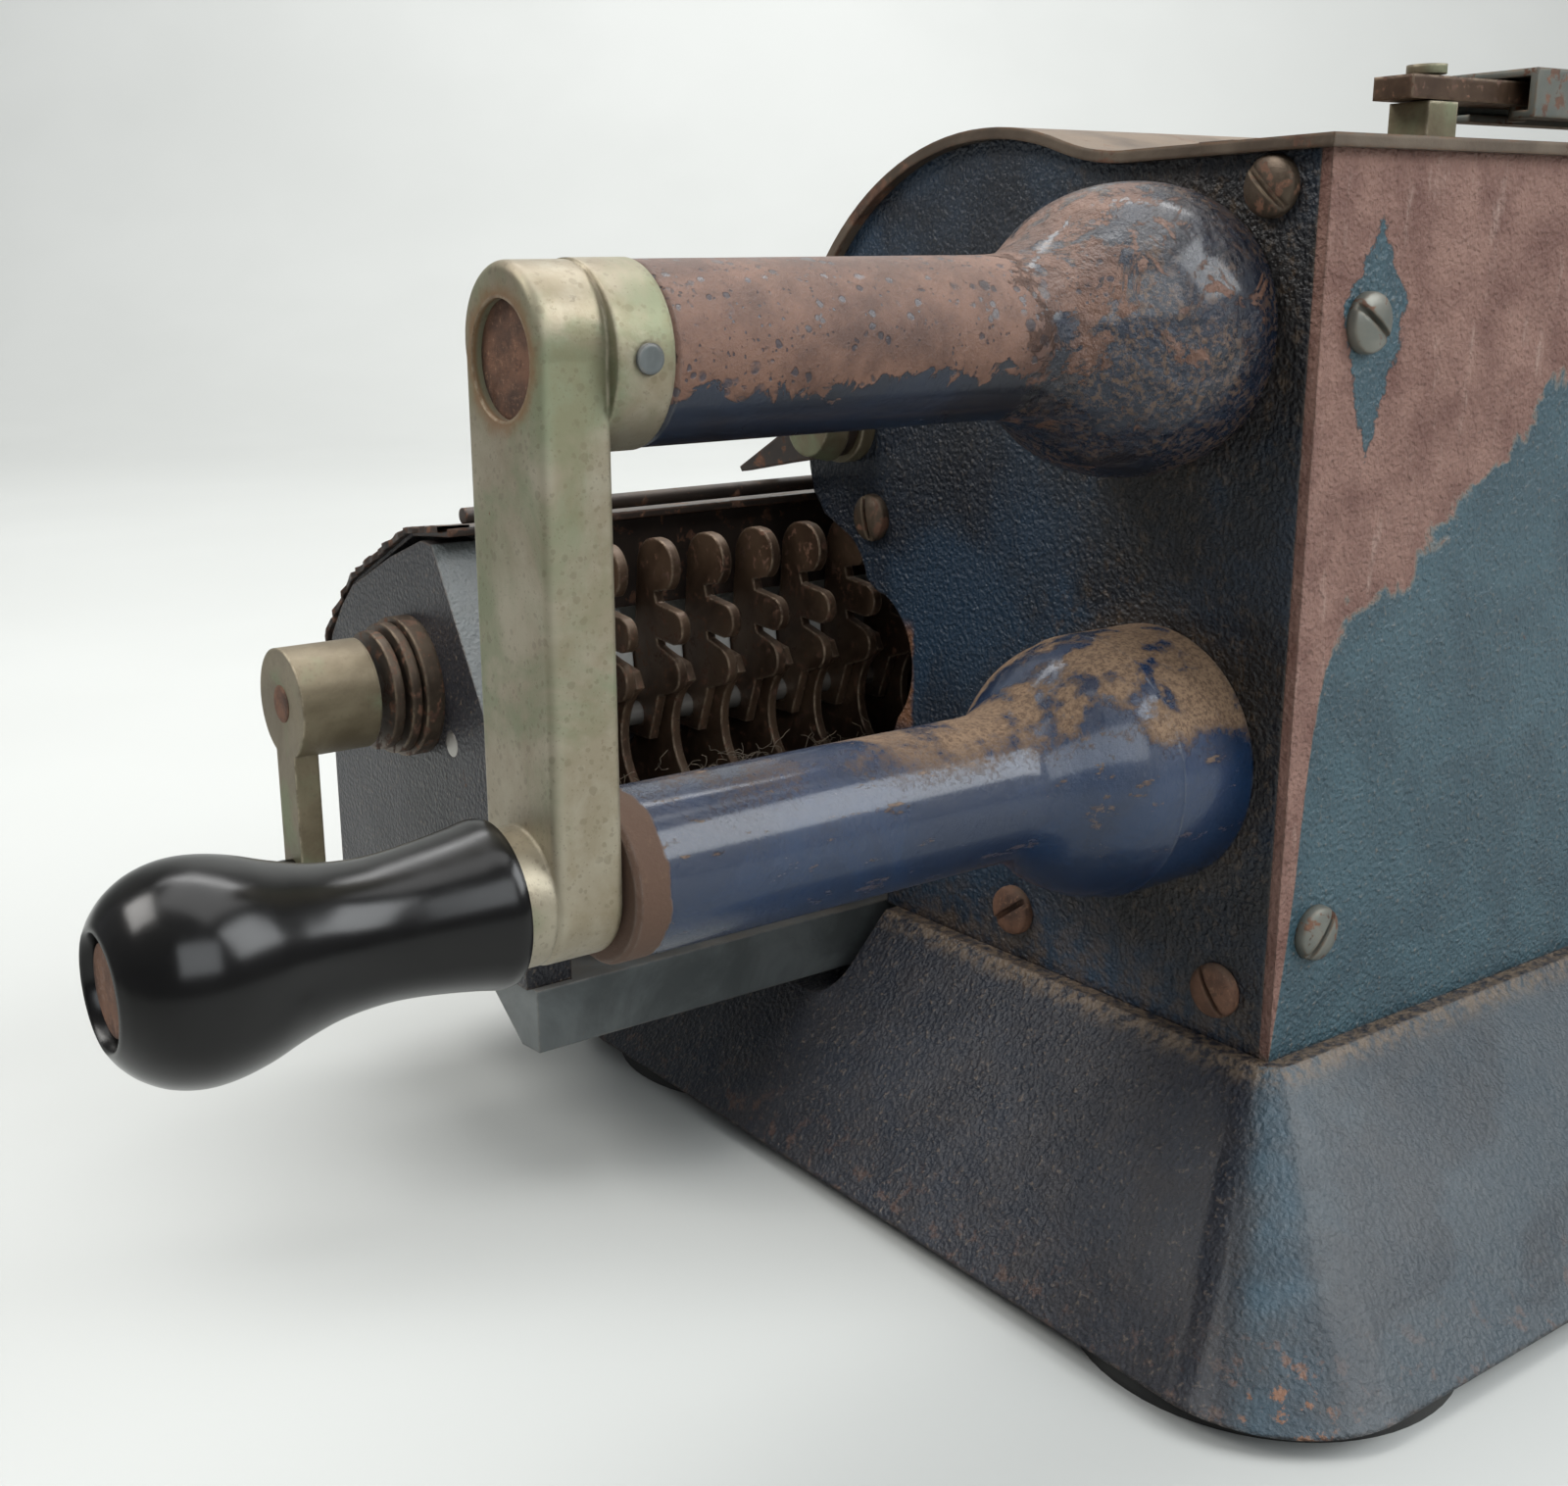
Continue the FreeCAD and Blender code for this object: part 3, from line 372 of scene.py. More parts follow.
def fill_dust(graph: Graph, given: dict[str, Socket]) -> dict[str, Value]:
    """Dust that settles on what faces up, and a thin film everywhere.

    Args:
        graph: The group's graph.
        given: Its inputs.

    Returns:
        What feeds its outputs.
    """
    normal = graph.add("ShaderNodeTexCoord").outputs["Normal"]
    up = graph.span(graph.split(normal)[2], 0.15, 0.95)
    patches = graph.span(graph.noise(given["Vector"], 0.14, 7.0, 0.68, 0.6), 0.33, 0.66)
    specks = graph.span(graph.noise(given["Vector"], 2.6, 3.0, 0.6), 0.62, 0.72)
    film = graph.times(patches, 0.12)
    settled = graph.times(up, graph.plus(patches, 0.25))
    total = graph.plus(graph.plus(settled, film), graph.times(specks, 0.22))
    return {"Mask": graph.times(total, given["Amount"], clamp=True)}


def fill_crinkle(graph: Graph, given: dict[str, Socket]) -> dict[str, Value]:
    """Fine crinkle of baked paint: a bent normal and a mask of bright tips, used for painted glints.

    Args:
        graph: The group's graph.
        given: Its inputs.

    Returns:
        What feeds its outputs.
    """
    fine = graph.noise(given["Vector"], given["Scale"], 3.0, 0.6)
    cells = graph.add("ShaderNodeTexVoronoi", feature="SMOOTH_F1")
    graph.feed(cells.inputs["Vector"], given["Vector"])
    graph.feed(cells.inputs["Scale"], graph.times(given["Scale"], 1.3))
    height = graph.plus(fine, graph.times(cells.outputs["Distance"], 0.5))
    return {"Normal": graph.bump(height, given["Depth"], given["Normal"]), "Tips": graph.span(fine, 0.58, 0.7)}


def fill_pits(graph: Graph, given: dict[str, Socket]) -> dict[str, Value]:
    """Round pits and flakes of many sizes.

    Args:
        graph: The group's graph.
        given: Its inputs.

    Returns:
        What feeds its outputs.
    """
    total: Value = 0.0
    for scale, size in ((0.55, 0.30), (1.1, 0.24), (0.28, 0.26)):
        cells = graph.add("ShaderNodeTexVoronoi")
        warped = graph.vector("ADD", given["Vector"], graph.noise(given["Vector"], 0.8, 3.0))
        graph.feed(cells.inputs["Vector"], warped.outputs["Vector"])
        graph.feed(cells.inputs["Scale"], scale)
        chosen = graph.span(graph.noise(given["Vector"], scale * 0.35, 4.0), 0.46, 0.52)
        spot = graph.span(cells.outputs["Distance"], size, size * 0.7)
        total = graph.math("MAXIMUM", total, graph.times(spot, chosen))
    return {"Mask": graph.times(total, given["Amount"], clamp=True)}


POINT = {"Vector": (VECTOR, (0.0, 0.0, 0.0))}
EDGES = shared_group("edge_wear", {**POINT, "Radius": (FLOAT, 0.0007), "Amount": (FLOAT, 1.0)},
                     {"Mask": FLOAT, "Normal": VECTOR}, fill_edges)
RUST = shared_group("rust_film", {**POINT, "Scale": (FLOAT, 0.2), "Cover": (FLOAT, 0.3)},
                    {"Colour": COLOUR, "Mask": FLOAT}, fill_rust)
DUST = shared_group("dust_film", {**POINT, "Amount": (FLOAT, 0.6)}, {"Mask": FLOAT}, fill_dust)
CRINKLE = shared_group("crinkle_paint", {**POINT, "Scale": (FLOAT, 1.6), "Depth": (FLOAT, 0.0001),
                                         "Normal": (VECTOR, (0.0, 0.0, 0.0))},
                       {"Normal": VECTOR, "Tips": FLOAT}, fill_crinkle)
PITS = shared_group("pits", {**POINT, "Amount": (FLOAT, 1.0)}, {"Mask": FLOAT}, fill_pits)

DUST_TAN = rgb(0.21, 0.16, 0.115)
STEEL_GREY = rgb(0.33, 0.31, 0.28)


@dataclass
class Surface:
    """What a finish works on while it is built."""

    graph: Graph
    point: Socket
    colour: Value
    rough: Value
    metal: Value
    normal: Value
    coat: Value = 0.0

    def noise(self, *settings: float) -> Socket:
        """Fractal noise on the surface. The settings are those of Graph.noise after the place."""
        return self.graph.noise(self.point, *settings)

    def patches(self, low: float, high: float, *settings: float) -> Socket:
        """Noise made into a mask that starts at one of its values and is full at another."""
        return self.graph.span(self.noise(*settings), low, high)

    def fray(self, reach: float, *settings: float) -> Socket:
        """Noise about nought that frays a border by a reach in millimetres."""
        return self.graph.times(self.graph.minus(self.noise(*settings), 0.5), reach)

    def tint(self, mask: Value, colour: Value, share: float = 1.0) -> None:
        """Lays a colour over the surface.

        Args:
            mask: Where it lies.
            colour: The colour.
            share: How much of it shows where the mask is full.
        """
        cover = mask if share == 1.0 else self.graph.times(mask, share)
        self.colour = self.graph.mix(cover, self.colour, colour)

    def settle(self, mask: Value, **ends: float) -> None:
        """Draws some of the surface's numbers towards new ones.

        Args:
            mask: Where they change.
            ends: The new values of rough, metal or coat.
        """
        for name, end in ends.items():
            setattr(self, name, self.graph.blend(mask, getattr(self, name), end))

    def relief(self, height: Value, depth: float) -> None:
        """Bends the normal by a height whose depth is in metres."""
        self.normal = self.graph.bump(height, depth, self.normal)


@dataclass(frozen=True)
class Finish:
    """A worn finish: a base layer, then wear at the edges, rust and dust."""

    name: str
    colour: Colour
    second: Colour
    rough: float = 0.45
    metal: float = 0.0
    coat: float = 0.0
    crinkle_depth: float = 0.0
    crinkle_scale: float = 1.15
    edge: float = 0.9
    edge_colour: Colour = STEEL_GREY
    edge_metal: float = 0.6
    rust: float = 0.0
    rust_scale: float = 0.16
    dust: float = 0.4
    dust_colour: Colour = DUST_TAN
    grain: float = 0.0
    specular: float = 0.4
    coat_rough: float = 0.14

    def marks(self, surface: Surface) -> None:
        """Adds what only this finish has. The plain finish adds nothing.

        Args:
            surface: The surface so far, changed in place.
        """

    def build(self) -> bpy.types.Material:
        """Makes the material.

        Returns:
            The material.
        """
        material = bpy.data.materials.new(self.name)
        material.use_nodes = True
        material.diffuse_color = self.colour
        graph = Graph(material.node_tree)
        shader = material.node_tree.nodes["Principled BSDF"]
        place = graph.add("ShaderNodeTexCoord").outputs["Object"]
        moved = graph.vector("SUBTRACT", place, tuple(ORIGIN)).outputs["Vector"]
        point = graph.stretch(moved, 1 / MM, 1 / MM, 1 / MM)
        edges = graph.call(EDGES, Vector=point, Amount=self.edge)
        surface = Surface(graph, point, self.colour, self.rough, self.metal, edges["Normal"], self.coat)
        surface.tint(surface.patches(0.35, 0.65, 0.06, 6.0, 0.62, 0.5), self.second)
        surface.rough = graph.plus(self.rough - 0.1, graph.times(surface.noise(0.11, 5.0, 0.6), 0.2))
        if self.crinkle_depth:
            crinkle = graph.call(CRINKLE, Vector=point, Scale=self.crinkle_scale, Depth=self.crinkle_depth,
                                 Normal=surface.normal)
            surface.normal = crinkle["Normal"]
            # Painted glints: the crinkle's bright tips are tinted paler to stand in for specular specks of light.
            surface.tint(crinkle["Tips"], self.dust_colour, 0.35)
        if self.grain:
            surface.relief(graph.noise(graph.stretch(point, 1.0, 0.3, 1.0), 2.2, 5.0, 0.7), self.grain)
        self.marks(surface)
        surface.tint(edges["Mask"], self.edge_colour)
        surface.settle(edges["Mask"], metal=self.edge_metal)
        if self.rust:
            rust = graph.call(RUST, Vector=point, Scale=self.rust_scale, Cover=self.rust)
            surface.tint(rust["Mask"], rust["Colour"])
            surface.settle(rust["Mask"], metal=0.0, rough=0.8, coat=0.0)
        dust = graph.call(DUST, Vector=point, Amount=self.dust)["Mask"]
        surface.tint(dust, self.dust_colour)
        surface.settle(dust, rough=0.9, metal=0.0, coat=0.0)
        for label, value in (("Base Color", surface.colour), ("Roughness", surface.rough),
                             ("Metallic", surface.metal), ("Normal", surface.normal),
                             ("Coat Weight", surface.coat), ("Coat Roughness", self.coat_rough),
                             ("Specular IOR Level", self.specular)):
            graph.feed(shader.inputs[label], value)
        return material


@dataclass(frozen=True)
class PlateFinish(Finish):
    """The crinkle paint of the side plates, with grime and painted shade round the tubes and a worn strip at the
    nest.
    """

    tubes: tuple[tuple[float, float], ...] = ()
    ring: tuple[float, float] = (24.5, 20.4)
    halo: tuple[float, float] = (40.0, 19.0)
    grime_and_shade: tuple[float, float] = (42.0, 24.0)
    nest_front: tuple[float, float] = (-73.2, -74.4)
    nest_foot: tuple[float, float] = (30.0, 34.0)
    nest_top: tuple[float, float] = (51.0, 47.0)

    def marks(self, surface: Surface) -> None:
        """Adds patches of painted blue sheen, the grime rings with painted shade round the tube roots, and the worn
        strip.

        Args:
            surface: The surface so far, changed in place.
        """
        graph = surface.graph
        surface.tint(surface.patches(0.46, 0.62, 0.028, 4.0, 0.5, 0.3), rgb(0.011, 0.028, 0.052))
        flat = graph.stretch(surface.point, 0.0, 1.0, 1.0)
        jag = graph.times(surface.noise(0.4, 5.0), 2.4)
        for y, z in self.tubes:
            away = graph.plus(graph.vector("DISTANCE", flat, (0.0, y, z)).outputs["Value"], jag)
            surface.tint(graph.span(away, *self.ring), rgb(0.035, 0.024, 0.015), 0.55)
            # Darkening round the tube roots: partly grime, partly painted shade between and below the bells.
            grime_and_shade = graph.times(graph.span(away, *self.grime_and_shade), surface.patches(0.36, 0.58, 0.045, 5.0, 0.6))
            surface.tint(grime_and_shade, rgb(0.005, 0.004, 0.0035), 0.8)
            film = graph.times(graph.span(away, *self.halo), surface.patches(0.5, 0.68, 0.5, 6.0, 0.75))
            surface.tint(film, rgb(0.12, 0.08, 0.048), 0.5)
        _, y, z = graph.split(surface.point)
        front = graph.span(graph.plus(y, jag), *self.nest_front)
        band = graph.times(graph.span(z, *self.nest_foot), graph.span(z, *self.nest_top))
        surface.tint(graph.times(front, band), rgb(0.14, 0.065, 0.035))
        foot = graph.times(graph.span(z, 16.0, 1.0), surface.patches(0.4, 0.62, 0.3, 6.0, 0.7))
        surface.tint(foot, rgb(0.075, 0.05, 0.032), 0.6)


@dataclass(frozen=True)
class PanelFinish(Finish):
    """The back panel's paint, peeled to brown primer along the top and the crank-side edge."""

    width: float = 190.0
    height: float = 119.6
    peel: tuple[tuple[float, float], ...] = (
        (0.0, 0.0), (0.009, 0.1), (0.016, 0.21), (0.020, 0.33), (0.025, 0.41), (0.04, 0.495), (0.076, 0.52),
        (0.12, 0.545), (0.182, 0.62), (0.292, 0.75), (0.42, 0.86), (0.6, 0.79), (0.8, 0.9), (1.0, 0.97))
    leaf_x: float = 10.8
    leaf_top: float = 111.0
    leaf_bottom: float = 82.5
    leaf_half: float = 6.0

    def border(self, graph: Graph, across: Value) -> Socket:
        """How far down the primer reaches.

        Args:
            graph: The material's graph.
            across: The place along the panel, 0 at the crank side and 1 at the other side.

        Returns:
            The height in millimetres.
        """
        curve = graph.add("ShaderNodeFloatCurve")
        line = curve.mapping.curves[0]
        line.points[0].location = self.peel[0]
        line.points[1].location = self.peel[-1]
        for place in self.peel[1:-1]:
            line.points.new(*place)
        for spot in line.points:
            spot.handle_type = "VECTOR"
        curve.mapping.update()
        graph.feed(curve.inputs["Value"], across)
        return graph.times(curve.outputs["Value"], self.height)

    def leaf(self, surface: Surface, x: Value, z: Value) -> Socket:
        """The leaf of paint left round the upper screw.

        Args:
            surface: The surface so far.
            x: The place along the panel in millimetres.
            z: The height in millimetres.

        Returns:
            Its mask.
        """
        graph = surface.graph
        sideways = graph.math("ABSOLUTE", graph.plus(x, self.leaf_x))
        above = graph.math("DIVIDE", graph.minus(self.leaf_top, z), 9.5)
        below = graph.math("DIVIDE", graph.minus(z, self.leaf_bottom), 15.5)
        taper = graph.math("MINIMUM", graph.math("MINIMUM", above, below), 1.0)
        reach = graph.plus(graph.times(taper, self.leaf_half), surface.fray(8.0, 0.3, 6.0, 0.7))
        return graph.span(graph.minus(reach, sideways), -0.2, 0.2)

    def marks(self, surface: Surface) -> None:
        """Adds the peeled field, its pale rim and the leaf of paint.

        Args:
            surface: The surface so far, changed in place.
        """
        graph = surface.graph
        x, _, z = graph.split(surface.point)
        across = graph.math("DIVIDE", x, -self.width)
        calm = graph.span(across, 0.005, 0.05, 0.12, 1.0)
        jag = graph.times(surface.fray(22.0, 0.13, 9.0, 0.62, 0.4), calm)
        over = graph.minus(graph.plus(z, jag), self.border(graph, across))
        bare = graph.times(graph.span(over, -0.25, 0.25), graph.minus(1.0, self.leaf(surface, x, z)))
        rim = graph.times(graph.span(over, -1.1, 0.0), graph.span(over, 0.9, 0.1))
        streak = graph.noise(graph.stretch(surface.point, 1.0, 1.0, 0.22), 0.3, 7.0, 0.7)
        tone = surface.patches(0.34, 0.66, 0.09, 7.0, 0.68)
        primer = graph.mix(tone, rgb(0.115, 0.05, 0.037), rgb(0.21, 0.115, 0.088))
        primer = graph.mix(graph.span(streak, 0.55, 0.75), primer, rgb(0.29, 0.2, 0.165))
        primer = graph.mix(surface.patches(0.6, 0.7, 0.9, 7.0, 0.75), primer, rgb(0.045, 0.02, 0.015))
        surface.tint(bare, primer)
        surface.tint(rim, rgb(0.2, 0.17, 0.14), 0.6)
        surface.settle(bare, rough=0.62)
        grain = graph.times(surface.noise(1.2, 4.0, 0.7), bare)
        surface.relief(graph.minus(graph.plus(1.0, grain), bare), 0.00035)


@dataclass(frozen=True)
class TubeFinish(Finish):
    """Glossy navy paint on a tube. What lies over it is left to the two kinds of tube."""

    axis_z: float = 97.6

    def layer(self, surface: Surface, fine: Socket, jag: Socket) -> tuple[Value, Value, float]:
        """What lies over the paint.

        Args:
            surface: The surface so far, changed in place.
            fine: Fine noise.
            jag: Noise in millimetres that frays a border.

        Returns:
            The layer's cover, its colour and its roughness.
        """
        raise NotImplementedError

    def marks(self, surface: Surface) -> None:
        """Lays the tube's rust or dust over the paint.

        Args:
            surface: The surface so far, changed in place.
        """
        graph = surface.graph
        fine = surface.noise(1.1, 8.0, 0.72)
        cover, colour, rough = self.layer(surface, fine, surface.fray(16.0, 0.22, 9.0, 0.66, 0.5))
        surface.tint(cover, colour)
        surface.settle(cover, rough=rough, coat=0.0)
        surface.relief(graph.plus(graph.times(cover, 0.5), fine), 0.00022)


@dataclass(frozen=True)
class RustedTubeFinish(TubeFinish):
    """The upper tube: rusted through over its top, with a pitted, filmed bell."""

    root: float = 33.0

    def layer(self, surface: Surface, fine: Socket, jag: Socket) -> tuple[Value, Value, float]:
        """The rust, after a brown film and lumps on the bell, with the base class's arguments and answer."""
        graph = surface.graph
        x, _, z = graph.split(surface.point)
        height = graph.minus(z, self.axis_z)
        bell = graph.span(graph.plus(x, jag), self.root + 1.5, self.root - 1.0)
        film = graph.times(graph.span(fine, 0.47, 0.6), surface.patches(0.42, 0.6, 0.06, 4.0, 0.5))
        film = graph.times(film, bell)
        surface.tint(film, rgb(0.13, 0.075, 0.042), 0.75)
        surface.settle(film, rough=0.55)
        surface.relief(graph.times(surface.noise(0.34, 5.0, 0.6), bell), 0.0016)
        lean = graph.span(x, 6.0, 30.0, -0.07, 0.05)
        high = graph.span(height, -14.0, 12.0, -0.08, 0.03)
        mottle = graph.plus(graph.plus(surface.noise(0.16, 9.0, 0.72, 0.6), lean), high)
        upper = graph.span(graph.plus(height, jag), -4.2, -3.6)
        cover = graph.blend(bell, upper, graph.span(mottle, 0.505, 0.53))
        pits = graph.call(PITS, Vector=surface.point)["Mask"]
        cover = graph.times(cover, graph.minus(1.0, graph.times(pits, 0.75)))
        tone = surface.patches(0.35, 0.65, 0.12, 6.0, 0.65)
        rust = graph.mix(tone, rgb(0.075, 0.036, 0.024), rgb(0.155, 0.08, 0.053))
        return cover, graph.mix(graph.span(fine, 0.56, 0.72), rust, rgb(0.045, 0.022, 0.016)), 0.42


@dataclass(frozen=True)
class DustyTubeFinish(TubeFinish):
    """The lower tube: tan dust on its upper side, rubbed spots and a bare end."""

    end: float = 92.5

    def layer(self, surface: Surface, fine: Socket, jag: Socket) -> tuple[Value, Value, float]:
        """The dust and the bare end, with the base class's arguments and answer."""
        graph = surface.graph
        x, _, z = graph.split(surface.point)
        height = graph.minus(z, self.axis_z)
        top = graph.times(graph.span(height, 0.0, 15.0), graph.span(x, 70.0, 30.0, 0.55, 1.25))
        grit = surface.noise(1.6, 5.0, 0.75)
        amount = graph.times(top, surface.patches(0.36, 0.6, 0.07, 8.0, 0.62))
        cover = graph.span(graph.plus(amount, graph.times(grit, 1.1)), 0.78, 1.2)
        along = graph.noise(graph.stretch(surface.point, 0.35, 1.0, 1.0), 0.34, 8.0, 0.72)
        spots = graph.times(graph.span(along, 0.6, 0.64), graph.span(height, -12.0, 4.0))
        cover = graph.math("MAXIMUM", cover, graph.times(spots, 0.8))
        frayed = graph.plus(x, graph.times(jag, 0.12))
        bare_end = graph.span(frayed, self.end - 4.6, self.end - 4.2)
        dust = graph.mix(graph.span(grit, 0.4, 0.62), rgb(0.21, 0.135, 0.08), rgb(0.085, 0.05, 0.03))
        dust = graph.mix(bare_end, dust, rgb(0.085, 0.047, 0.03))
        dust = graph.mix(graph.span(fine, 0.55, 0.75), dust, rgb(0.11, 0.066, 0.04))
        return graph.math("MAXIMUM", cover, bare_end), dust, 0.8


@dataclass(frozen=True)
class NickelFinish(Finish):
    """Thin nickel, dulled and greenish, with brown where it has worn through."""

    def marks(self, surface: Surface) -> None:
        """Adds green patches, brown specks and dulled areas.

        Args:
            surface: The surface so far, changed in place.
        """
        graph = surface.graph
        green = surface.patches(0.47, 0.66, 0.055, 5.0, 0.6, 0.5)
        surface.tint(green, rgb(0.17, 0.2, 0.12), 0.75)
        specks = surface.patches(0.6, 0.68, 0.75, 7.0, 0.75)
        surface.tint(specks, rgb(0.09, 0.062, 0.036), 0.45)
        pits = graph.call(PITS, Vector=graph.stretch(surface.point, 1.6, 1.6, 1.6), Amount=0.3)["Mask"]
        surface.tint(pits, rgb(0.1, 0.08, 0.05))
        surface.settle(specks, metal=0.2)
        surface.rough = graph.plus(surface.rough, graph.times(green, 0.12))
        surface.relief(surface.noise(0.8, 6.0, 0.7), 0.00006)


@dataclass(frozen=True)
class ArmFinish(NickelFinish):
    """The crank arm's nickel, stained brown round the shaft and along its rim."""

    axis: tuple[float, float] = (-24.0, 97.6)
    outside: tuple[float, float] = (100.6, 101.2)
    inside: tuple[float, float] = (100.9, 99.5)

    def marks(self, surface: Surface) -> None:
        """Adds the stain to the nickel's own marks.

        Args:
            surface: The surface so far, changed in place.
        """
        super().marks(surface)
        graph = surface.graph
        x = graph.split(surface.point)[0]
        flat = graph.stretch(surface.point, 0.0, 1.0, 1.0)
        away = graph.vector("DISTANCE", flat, (0.0, *self.axis)).outputs["Value"]
        frayed = graph.plus(away, graph.times(surface.noise(0.5, 6.0, 0.65), 3.0))
        ring = graph.times(graph.span(frayed, 10.2, 7.8), graph.span(x, *self.outside))
        surface.tint(ring, rgb(0.14, 0.07, 0.025), 0.85)
        surface.settle(ring, metal=0.15)
        rim = graph.times(surface.patches(0.4, 0.6, 0.12, 6.0, 0.65), graph.span(x, *self.inside))
        surface.tint(rim, rgb(0.16, 0.12, 0.06), 0.35)


@dataclass(frozen=True)
class BaseFinish(Finish):
    """The base's slate paint: painted lighter on its rear-facing faces, blue at the corners, browner on the crank
    side, with rust where it was knocked.
    """

    def marks(self, surface: Surface) -> None:
        """Adds painted light on the rear-facing faces, bluer patches on the rounded corner, brown film and rust
        spots low on the corner.

        Args:
            surface: The surface so far, changed in place.
        """
        graph = surface.graph
        z = graph.split(surface.point)[2]
        aside, behind, _ = graph.split(graph.add("ShaderNodeTexCoord").outputs["Normal"])
        # Painted light: faces turned to the back are tinted paler, as if lit from behind.
        surface.tint(graph.span(behind, 0.1, 0.5), rgb(0.04, 0.055, 0.066))
        corner = graph.times(graph.span(aside, 0.25, 0.42), graph.span(behind, 0.25, 0.42))
        cloud = surface.patches(0.3, 0.6, 0.1, 5.0, 0.6)
        surface.tint(graph.times(corner, cloud), rgb(0.035, 0.068, 0.092))
        dark = graph.noise(graph.stretch(surface.point, 1.0, 1.0, 1.6), 0.035, 4.0, 0.5, 0.6)
        surface.tint(graph.span(dark, 0.5, 0.62), rgb(0.011, 0.011, 0.015), 0.38)
        knock = graph.times(graph.span(z, -22.0, -31.0), surface.patches(0.55, 0.62, 0.35, 7.0, 0.7))
        surface.tint(graph.times(knock, graph.plus(corner, 0.25)), rgb(0.17, 0.085, 0.05))
        rim = graph.times(graph.span(z, -3.2, -0.4), surface.patches(0.4, 0.58, 0.6, 7.0, 0.7))
        surface.tint(rim, rgb(0.14, 0.1, 0.065), 0.75)


@dataclass(frozen=True)
class CheekFinish(Finish):
    """The carriage ends' dark paint, with painted light: the rear slope, facing back and up, is tinted a paler
    grey.
    """

    def marks(self, surface: Surface) -> None:
        """Adds painted light: the rear, upward-facing slope is tinted a paler grey.

        Args:
            surface: The surface so far, changed in place.
        """
        graph = surface.graph
        _, behind, above = graph.split(graph.add("ShaderNodeTexCoord").outputs["Normal"])
        # Painted light: faces turned back and up are made paler grey because of how light falls on them.
        rear = graph.times(graph.span(behind, 0.5, 0.8), graph.span(above, 0.2, 0.45))
        surface.tint(rear, rgb(0.13, 0.145, 0.145))


